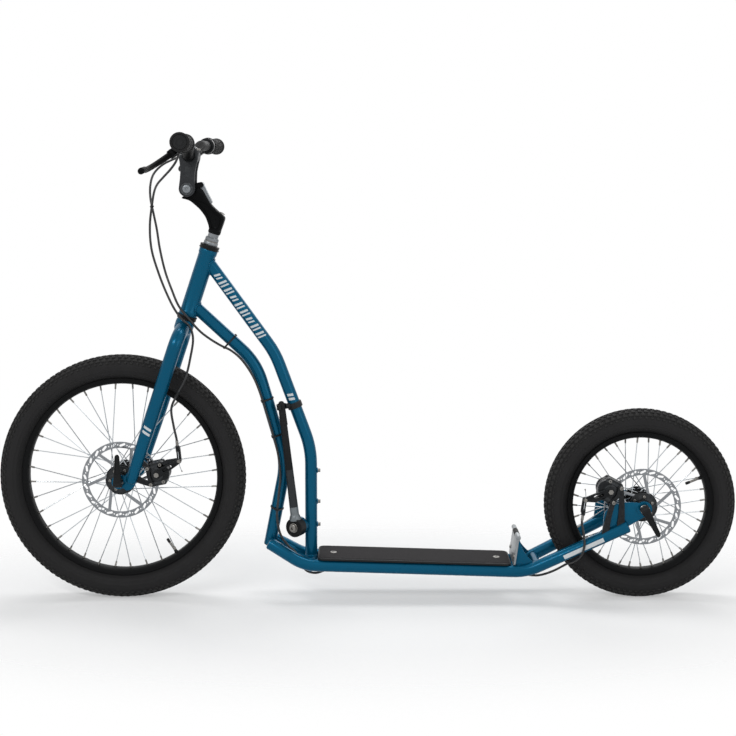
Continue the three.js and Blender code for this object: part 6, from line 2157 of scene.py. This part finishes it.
@dataclass
class Brake:
    """A cable-pulled disc brake, drawn with X from the hub to it and Y along the axle."""

    name: str
    place: Matrix
    arm_angle: float
    roots: Sequence[Spot]
    carrier: Body
    arm_body: Body
    pad_body: Body
    middle: float = 80.0
    arm_length: float = 55.0
    arm_level: float = -60.0
    pull_turn: float = math.radians(64)
    bare_wire: float = 26.0
    bolts: Spot = (65.0, 17.0)

    @property
    def tip(self) -> Vector:
        """Where the wire is clamped to the arm."""
        return Vector((self.middle, 0, 0)) + about_y(self.arm_length, self.arm_angle, self.arm_level)

    @property
    def pull(self) -> Vector:
        """The way in which the wire pulls."""
        return about_y(1, self.arm_angle + self.pull_turn)

    @property
    def stop(self) -> Vector:
        """Where the cable's sheath ends."""
        return self.tip + self.pull * self.bare_wire

    @property
    def pad_outline(self) -> Outline:
        """The fixed pad and the moving one's backing, seen along the axle."""
        return oblong((64, -13), (79, 13), 2, 2)

    def build(self) -> None:
        """Makes the brake's pieces."""
        for end, parts, body, node, slot in (
            ("caliper", self.caliper(), self.carrier, "caliper", Slot.BLACK_ALLOY),
            ("mount", self.mount(), self.carrier, "caliper_bracket", Slot.BLACK_ALLOY),
            ("arm", self.arm(), self.arm_body, "caliper_arm", Slot.BLACK_ALLOY),
            ("pad", self.pad(), self.pad_body, "moving_pad", Slot.PAD),
        ):
            carried = [(moved(part, self.place), finish) for part, finish in parts]
            piece(f"{self.name}_brake_{end}", carried, body, [f"{self.name}_{node}"])

    @staticmethod
    def sheet(outline: Outline, thick: float, y: float, bevel: float, *holes: Outline) -> Part:
        """A plate square to the axle, with its middle plane at y."""
        return plate(outline, holes, thick, shift(0, y, 0), bevel)

    def body_outline(self, notch: bool) -> Outline:
        """The caliper's outline: a block with a round nose, with or without room for a pad.

        Args:
            notch: whether the pad's room is cut out.

        Returns:
            The outline.
        """
        nose = arc((85, 0), 21, math.radians(-50), math.radians(100), 12)
        edge = [(62, -24), (95, -24), (97.5, -19), *nose, (97.5, 19), (95, 24), (62, 24)]
        if notch:
            edge += [(62, 13.4), (79.4, 13.4), (79.4, -13.4), (62, -13.4)]
        return eased(edge, 3.2, 3)

    def caliper(self) -> Dressed:
        """Two halves bolted over the disc, with the cable's stop on a lug."""
        block, stop, tip = self.body_outline(False), self.stop, self.tip
        ears = [circle((self.bolts[0], z), 4.4) for z in (-self.bolts[1], self.bolts[1])]
        roof = eased([(84.2, -20), (96.5, -20), (104, -9), (104, 9), (96.5, 20), (84.2, 20)], 3, 3)
        between = (85 + tip.x) / 2 - 3, (12 + tip.z) / 2 + 5
        lug = ribbon([(85, 12), between, (tip.x, tip.z + 1)], [6.5, 5.2, 4.4])
        rings = [(1.3, -6), (3.9, -6), (4.4, -5.4)]
        for k in range(4):
            rings += [(4.4, -4.4 + 2.2 * k), (3.9, -4.0 + 2.2 * k), (3.9, -3.5 + 2.2 * k),
                      (4.4, -3.1 + 2.2 * k)]
        rings += [(4.4, 5.3), (3.7, 6), (2.5, 6), (2.5, 1), (1.3, 1)]
        cast = [
            self.sheet(block, 15.0, -48.5, 1.4, *ears),
            self.sheet(self.body_outline(True), 3.5, -39.25, 0.4),
            self.sheet(block, 9.0, -27.0, 1.4, circle((71, 0), 6.0)),
            self.sheet(roof, 5.4, -35, 0.2),
            lathe([(4.3, -56.7), (12.2, -56.7), (13.4, -56.2), (13.4, -55), (4.3, -55)],
                  shift(self.middle, 0, 0), 48),
            self.sheet(eased(lug, 2, 2), 6.0, -53, 0.7),
            self.sheet(slot_outline(side_view(tip), side_view(stop), 4.5), 6.0, -53, 0.7),
            rod(Vector((stop.x, -54, stop.z)), Vector((stop.x, -60, stop.z)), 4.3),
            lathe(rings, facing(stop, self.pull), 32),
        ]
        dial = [(AXIS, -2.2), (4.0, -2.2), (4.2, -1.4), (8.4, -1.4), (8.9, -0.9), (8.9, 1.4), (AXIS, 1.4)]
        knob = lathe(dial, shift(self.middle, -24.4, 0) @ Matrix.Rotation(math.pi, 4, "X"), 10)
        screws = []
        for z in (-18, 18):
            screws += [socket_screw(Vector((90, -54.0, z)), LEFT, 3.6, 2.6),
                       socket_screw(Vector((90, -23.6, z)), RIGHT, 3.4, 1.5, domed=True)]
        pad = self.sheet(self.pad_outline, 2.4, -32.2, 0.3)
        return [(joined(cast), ANODISED), (knob, ABS), (joined(screws), ZINC), (pad, COMPOUND)]

    def mount(self) -> Dressed:
        """The bracket's two bowed arms with their bolts."""
        y, (bolt_x, far) = -59 - LAYOUT.seat, self.bolts
        spine = ribbon([(bolt_x, -far), (bolt_x - 1.4, 0), (bolt_x, far)], [4.2, 3.4, 4.2])
        cast, screws = [self.sheet(eased(spine, 1, 2), 5.6, y, 0.6)], []
        for (x, z), bolt_z, bow in zip(self.roots, (-far, far), (-4, 5)):
            across = Vector((x - bolt_x, z - bolt_z)).normalized().y
            path = []
            for t in shares(10):
                lift = 4 * t * (1 - t) * bow * 0.4
                path.append((bolt_x + (x - bolt_x) * t + across * lift, bolt_z + (z - bolt_z) * t + lift))
            halves = [5.0 + 3.6 * t ** 2 for t in shares(10)]
            cast += [self.sheet(eased(ribbon(path, halves), 3, 3), 6.0, y, 0.8),
                     lathe([(AXIS, -3), (4.7, -3), (5.2, -2.5), (5.2, 2.8), (AXIS, 2.8)],
                           shift(bolt_x, y, bolt_z), 32),
                     lathe([(AXIS, -3), (8.3, -3), (9.0, -2.3), (9.0, 2.8), (AXIS, 2.8)],
                           shift(x, y, z), 32)]
            screws += [socket_screw(Vector((bolt_x, y - 3, bolt_z)), LEFT, 4.0, 4.0),
                       socket_screw(Vector((x, y - 2.8, z)), LEFT, 4.4, 2.6, domed=True)]
        return [(joined(cast), ANODISED), (joined(screws), ZINC)]

    def arm(self) -> Dressed:
        """The pulled arm, its pivot bolt, the wire's clamp and the wire's loose end."""
        tip, pull, middle = self.tip, self.pull, self.middle
        way = Vector((tip.x - middle, 0, tip.z)).normalized()
        hollow = slot_outline(*((middle + way.x * n, way.z * n) for n in (19, 34)), 3.3, 2.4, 8)
        blade = self.sheet(slot_outline((middle, 0), side_view(tip), 9.0, 5.0, 14), 6.0, -60, 1.0, hollow)
        side = pull.cross(LEFT)
        tail = smooth_path([tip + LEFT * 0.6, tip - pull * 7 + LEFT * 0.4, tip - pull * 15 + side * 1.5,
                            tip - pull * 23 + side * 4], 5)
        bolts = [rod(Vector((middle, -57, 0)), Vector((middle, -45, 0)), 4.0),
                 nut(Vector((middle, -63, 0)), LEFT, 5.6, 2.8),
                 nut(Vector((tip.x, -63.4, tip.z)), LEFT, 3.2, 2.5),
                 lathe([(AXIS, -63.7), (3.9, -63.7), (4.1, -63.4), (4.1, -62.9), (AXIS, -62.9)],
                       shift(tip.x, 0, tip.z), 28),
                 rod(tail[-3], tail[-1], 1.25, 12, ease=0.3)]
        return [(blade, ANODISED), (joined(bolts), ZINC), (sweep(tail, 0.8, 10), WIRE)]

    def pad(self) -> Dressed:
        """The moving pad on its steel backing."""
        return [(self.sheet(self.pad_outline, 1.6, -39.8, 0.2), ZINC),
                (self.sheet(oblong((64.8, -12), (78, 12), 2, 2), 2.4, -37.8, 0.3), COMPOUND)]


@dataclass
class Cable:
    """A brake cable in its sheath, from a lever's barrel to a caliper's stop.

    The route's places are in millimetres, from the bar on.
    """

    side: int
    route: Sequence[Point]
    brake: Brake
    radius: float = 2.4
    lead: float = 14.0
    # The left lever's barrel, and the way out of it
    barrel: Point = (-371.7, -139.18, 934.7)
    way: Point = (-0.048, 0.9988, -0.005)

    def path(self) -> list[Vector]:
        """The sheath's middle line."""
        start, way = (Vector((x, -y * self.side, z)) for x, y, z in (self.barrel, self.way))
        stop = self.brake.place @ self.brake.stop
        pull = self.brake.place.to_3x3() @ self.brake.pull
        route = [Vector(place) for place in self.route]
        ends = [start, start + way * self.lead], [stop + pull * 20, stop + pull * 6.35]
        return smooth_path([*ends[0], *route, *ends[1]], 6)

    @staticmethod
    def ferrule(path: Sequence[Vector], length: float) -> Part:
        """A stepped end cap on the sheath.

        Args:
            path: the sheath's middle line, from the capped end on.
            length: the cap's length.

        Returns:
            The part.
        """
        profile = [(1.0, 0), (2.7, 0), (3.0, 0.5), (3.0, length - 1.2), (2.75, length - 0.2), (2.2, length),
                   (1.0, length)]
        return lathe(profile, facing(path[0], (path[1] - path[0]).normalized()), 24)

    def wire(self) -> Part:
        """The bare wire from the stop to the arm's clamp."""
        stop, tip = self.brake.place @ self.brake.stop, self.brake.place @ self.brake.tip
        return rod(stop, tip, 0.8, 10)


def cable_tie(circles: Sequence[tuple[Vector, float]], along: Vector) -> Part:
    """A band pulled tight round two round things, with its small lock.

    Args:
        circles: the two middles and radii.
        along: the direction of what it holds.

    Returns:
        The part.
    """
    (a, ra), (b, rb) = circles
    gap = b - a
    gap -= along * gap.dot(along)
    distance = gap.length
    u = gap.normalized()
    v = along.cross(u).normalized()
    lean = math.acos(max(-1.0, min(1.0, (ra - rb) / distance)))
    section = [(0, -0.5), (1.0, -0.5), (1.25, -0.3), (1.25, 0.3), (1.0, 0.5), (0, 0.5)]
    ring = []
    for centre, radius, start, turn in ((0.0, ra, lean, 2 * math.pi - 2 * lean),
                                        (distance, rb, -lean, 2 * lean)):
        for t in shares(16):
            ray = u * math.cos(start + turn * t) + v * math.sin(start + turn * t)
            ring.append((a + u * centre + ray * (radius + 0.15), ray))
    verts = [place + ray * off + along * (lift * TIE_WIDTH) for place, ray in ring for off, lift in section]
    spot, ray = ring[8]
    lock, half = spot + ray * 2.4, along * TIE_WIDTH * 0.75
    band = verts, skin(len(ring), len(section), looped=True)
    return joined([band, rod(lock - half, lock + half, 2.7, 4, ease=0.4)])


@dataclass
class Cables:
    """Both cables with their ties."""

    front: Brake
    rear: Brake
    frame: Frame = field(default_factory=Frame)

    FRONT = [
        (-374, -108, 930), (-381, -95, 915), (-394, -82, 899), (-411, -66, 883), (-427, -46, 868),
        (-437, -24, 852), (-444, -7, 828), (-450, -3, 784), (-447, -6, 735), (-432, -12, 685),
        (-414, -22, 643), (-396, -31, 610), (-381, -34, 591), (-366, -36, 577), (-359, -39, 554),
        (-364, -45, 514), (-374, -53, 472), (-390, -59, 440), (-402, -60, 412), (-398, -60, 375),
    ]
    UPPER = [
        (-376, 108, 933), (-390, 93, 928), (-412, 78, 919), (-433, 62, 907), (-448, 44, 889),
        (-452, 24, 867), (-450, 8, 840), (-443, 4, 806), (-437, 4, 775), (-431, 2, 735),
    ]
    LOWER = [
        (-419, -6, 687), (-404, -18, 650), (-389, -27, 618), (-368, -31, 592), (-346, -27, 566),
        (-324, -22, 548), (-302, -18, 534), (-284, -17, 525), (-262, -17, 506), (-238, -17, 470),
        (-222, -17, 430), (-204, -17, 370), (-188, -17, 310), (-183, -18, 260), (-187, -19, 215),
        (-190, -21, 172), (-182, -23, 136), (-167, -20, 113), (-151, -19, 97), (-142, -18, 77),
        (-129, -18, 59), (-110, -18, 54), (-80, -18, 63), (-30, -18, 69), (60, -18, 66), (160, -18, 63),
        (260, -18, 60), (325, -20, 52), (356, -25, 51), (386, -31, 62), (413, -41, 80), (431, -53, 92),
        (442, -64.2, 109), (446, -65, 129), (444, -63, 151),
    ]

    def build(self) -> None:
        """Makes the cables' pieces, left on no body, and their ties on the frame."""
        front = Cable(-1, self.FRONT, self.front)
        path = front.path()
        sleeve = sweep([p for p in path if (p - Vector((-390, -59, 440))).length < 8], 3.1, 16)
        parts = [(sweep(path, front.radius, 16), SHEATH), (front.wire(), WIRE),
                 (front.ferrule(path[::-1], 11), ZINC), (front.ferrule(path, 9), ABS), (sleeve, ABS)]
        made = piece("front_cable", parts, None, ["front_brake_cable"])
        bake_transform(made)
        rear = Cable(1, [*self.UPPER, *self.LOWER], self.rear)
        path = rear.path()
        split = min(range(len(path)), key=lambda k: (path[k] - Vector((-437, 4, 775))).length)
        upper, lower = path[:split + 1], path[split:]
        both = [(Vector((-444.9, -6.3, 822)), 2.5), (Vector((-446.4, 5.8, 822)), 2.5)]
        parts = [(sweep(upper, rear.radius, 16), SHEATH), (rear.ferrule(path, 9), ABS),
                 (cable_tie(both, Vector((0.1, 0, -1)).normalized()), ABS)]
        made = piece("rear_cable_upper_part", parts, None, ["rear_brake_cable"])
        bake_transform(made)
        parts = [(sweep(lower, rear.radius, 16), SHEATH), (rear.wire(), WIRE),
                 (rear.ferrule(path[::-1], 11), ZINC)]
        made = piece("rear_cable_lower_part", parts, None, ["rear_brake_cable"])
        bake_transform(made)
        piece("frame_cable_ties", self.ties(path), Body.FRAME, ())

    @staticmethod
    def metres(place: Point) -> Point:
        """A place in metres."""
        return tuple(v * MM for v in place)

    def ties(self, path: Sequence[Vector]) -> Dressed:
        """The ties that hold the rear cable to the lower tube.

        Args:
            path: the cable's middle line.

        Returns:
            The parts.
        """
        head, elbow, knee, foot = self.frame.lower_line
        beside = [p for p in path if -330 < p.x < -100]
        ties = []
        for a, b, axis, at in ((head, elbow, 0, -284.0), (elbow, knee, 2, 420.0), (elbow, knee, 2, 345.0),
                               (knee, foot, 2, 190.0)):
            centre = a.lerp(b, (at - a[axis]) / (b[axis] - a[axis]))
            along = (b - a).normalized()
            cable = min(beside, key=lambda p: abs((p - centre).dot(along)))
            ties.append(cable_tie([(centre, 12.9), (cable, 2.5)], along))
        return [(joined(ties), ABS)]


@dataclass
class Lamp:
    """One soft studio light."""

    name: str
    place: Point
    target: Point
    size: Spot
    power: float

    def build(self) -> None:
        """Makes the light."""
        data = bpy.data.lights.new(self.name, "AREA")
        data.shape = "RECTANGLE"
        data.size, data.size_y = self.size
        data.energy = self.power
        lamp = bpy.data.objects.new(self.name, data)
        bpy.context.scene.collection.objects.link(lamp)
        lamp.location = self.place
        lamp.rotation_euler = (Vector(self.target) - Vector(self.place)).to_track_quat("-Z", "Y").to_euler()


@dataclass
class Studio:
    """A pale floor in front of a white backdrop, lit by large soft lamps; its lengths are in metres."""

    lamps: Sequence[Lamp] = (
        Lamp("key_light", (-1.6, -2.4, 2.6), (0.0, 0.0, 0.4), (2.2, 0.45), 34.0),
        Lamp("fill_light", (2.2, -2.2, 1.4), (0.1, 0.0, 0.4), (1.6, 1.6), 10.0),
        Lamp("top_light", (0.2, 0.6, 2.8), (0.0, 0.0, 0.4), (2.6, 0.6), 30.0),
        Lamp("back_light", (0.6, 2.4, 1.8), (0.0, 0.0, 0.4), (2.0, 1.2), 16.0),
    )
    floor_half: tuple[float, float] = (5.0, 3.2)
    floor_cuts: int = 10
    sensor: float = 36.0
    lens: float = 65.2
    lens_shift: float = -0.1174
    eye: Point = (0.0, -2.7528, 0.9072)
    pitch: float = math.radians(85)

    def build(self) -> None:
        """Makes the floor, world, lamps and camera."""
        self.floor()
        self.world()
        for lamp in self.lamps:
            lamp.build()
        self.camera()
        bpy.context.scene.view_settings.view_transform = "Standard"

    def floor(self) -> None:
        """A pale floor that takes the bike's shadow and fades into the white backdrop away from it."""
        mesh = bpy.data.meshes.new("studio_floor")
        (wide, deep), across = self.floor_half, shares(self.floor_cuts)
        verts = [((u - 0.5) * 2 * wide, (v - 0.5) * 2 * deep, 0.0) for v in across for u in across]
        mesh.from_pydata(verts, [], skin(len(across), len(across), looped=False, rounded=False))
        mesh.materials.append(self.card())
        floor = bpy.data.objects.new("studio_floor", mesh)
        bpy.context.scene.collection.objects.link(floor)

    @staticmethod
    def card() -> bpy.types.Material:
        """Matt white card, seen only near the bike: further out the eye meets the white backdrop."""
        material = bpy.data.materials.new("matt_studio_card")
        material.use_nodes = True
        tree = material.node_tree
        surface = tree.nodes["Principled BSDF"]
        spot = add_node(tree, "ShaderNodeTexCoord").outputs["Object"]
        cloud = add_node(tree, "ShaderNodeTexNoise", inputs={"Vector": spot, "Scale": 1.5})
        tint = add_node(tree, "ShaderNodeMix", {"data_type": "RGBA"}, {
            "Factor": cloud.outputs["Fac"], "A": linear("fbfbfb"), "B": linear("fefefe")})
        tree.links.new(tint.outputs["Result"], surface.inputs["Base Color"])
        surface.inputs["Roughness"].default_value = 0.9
        surface.inputs["Specular IOR Level"].default_value = 0.1
        shrunk = add_node(tree, "ShaderNodeMapping", inputs={"Vector": spot, "Scale": (0.78, 1.6, 1.0)})
        away = add_node(tree, "ShaderNodeVectorMath", {"operation": "LENGTH"}, {
            0: shrunk.outputs["Vector"]})
        fade = add_node(tree, "ShaderNodeMapRange", {"interpolation_type": "SMOOTHSTEP"}, {
            "Value": away.outputs["Value"], "From Min": 0.45, "From Max": 1.05, "To Min": 0.35})
        share = add_node(tree, "ShaderNodeMath", {"operation": "MULTIPLY"}, {
            0: fade.outputs["Result"], 1: Studio.seen(tree)})
        clear = add_node(tree, "ShaderNodeBsdfTransparent")
        mix = add_node(tree, "ShaderNodeMixShader", inputs={
            0: share.outputs["Value"], 1: surface.outputs["BSDF"], 2: clear.outputs["BSDF"]})
        output = tree.nodes["Material Output"]
        tree.links.new(mix.outputs["Shader"], output.inputs["Surface"])
        return material

    @staticmethod
    def seen(tree: bpy.types.NodeTree) -> bpy.types.NodeSocket:
        """1 for rays that come from the camera, from a glossy surface or through a clear one.

        Args:
            tree: the node tree that asks.

        Returns:
            The socket with the answer.
        """
        rays = add_node(tree, "ShaderNodeLightPath").outputs
        either = add_node(tree, "ShaderNodeMath", {"operation": "MAXIMUM"}, {
            0: rays["Is Camera Ray"], 1: rays["Is Glossy Ray"]})
        return add_node(tree, "ShaderNodeMath", {"operation": "MAXIMUM"}, {
            0: either.outputs["Value"], 1: rays["Is Transmission Ray"]}).outputs["Value"]

    def world(self) -> None:
        """White where the camera or a mirror sees it, and a plain soft grey as a light."""
        world = bpy.data.worlds.new("studio")
        bpy.context.scene.world = world
        world.use_nodes = True
        tree = world.node_tree
        tree.nodes.clear()
        color = add_node(tree, "ShaderNodeMix", {"data_type": "RGBA"}, {
            "Factor": self.seen(tree), "A": linear("9a9c9e"), "B": linear("ffffff")})
        light = add_node(tree, "ShaderNodeBackground", inputs={
            "Color": color.outputs["Result"], "Strength": 1.0})
        add_node(tree, "ShaderNodeOutputWorld", inputs={"Surface": light.outputs["Background"]})

    def camera(self) -> None:
        """The photograph's camera: level with the bar and pitched a little down."""
        data = bpy.data.cameras.new("photo_camera")
        data.sensor_width = self.sensor
        data.lens = self.lens
        data.shift_y = self.lens_shift
        camera = bpy.data.objects.new("photo_camera", data)
        bpy.context.scene.collection.objects.link(camera)
        camera.location = self.eye
        camera.rotation_euler = (self.pitch, 0.0, 0.0)
        bpy.context.scene.camera = camera


def brakes() -> tuple[Brake, Brake]:
    """The front and rear brakes, turned up from behind their hubs."""
    turned = hub_frame(LAYOUT.front_hub, LAYOUT.head_tilt - math.radians(30))
    front = Brake("front", turned, math.radians(20),
                  ((31.8, 7.1), (48.8, 36.5)), Body.STEERING, Body.FRONT_ARM, Body.FRONT_PAD)
    rear = Brake("rear", hub_frame(LAYOUT.rear_hub, -math.radians(152)), math.radians(46),
                 ((24.2, 61.6), (44.2, 89.2)), Body.FRAME, Body.REAR_ARM, Body.REAR_PAD)
    return front, rear


def main() -> None:
    """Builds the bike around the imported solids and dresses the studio."""
    logging.basicConfig(level=logging.INFO, format="%(name)s %(message)s")
    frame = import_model()
    LOG.info("frame of %d packed solids", len(frame["nodes"]))
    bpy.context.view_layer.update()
    front, rear = brakes()
    for part in (
        Wheel("front", LAYOUT.front_hub, Tyre(257.0, 54.0), math.radians(146.25), Body.FRONT_WHEEL,
              FRONT_STAINLESS),
        Wheel("rear", LAYOUT.rear_hub, Tyre(200.0, 50.0), math.radians(67.5), Body.REAR_WHEEL,
              REAR_STAINLESS),
        AxleSet("front", LAYOUT.front_hub, 0.0, Body.STEERING, Body.FRONT_RELEASE),
        AxleSet("rear", LAYOUT.rear_hub, math.radians(152), Body.FRAME, Body.REAR_RELEASE),
        Head(), Stem(), Cockpit(), Frame(), Deck(), SideStand(), front, rear, Cables(front, rear), Studio(),
    ):
        part.build()
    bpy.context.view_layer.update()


if __name__ == "__main__":
    main()
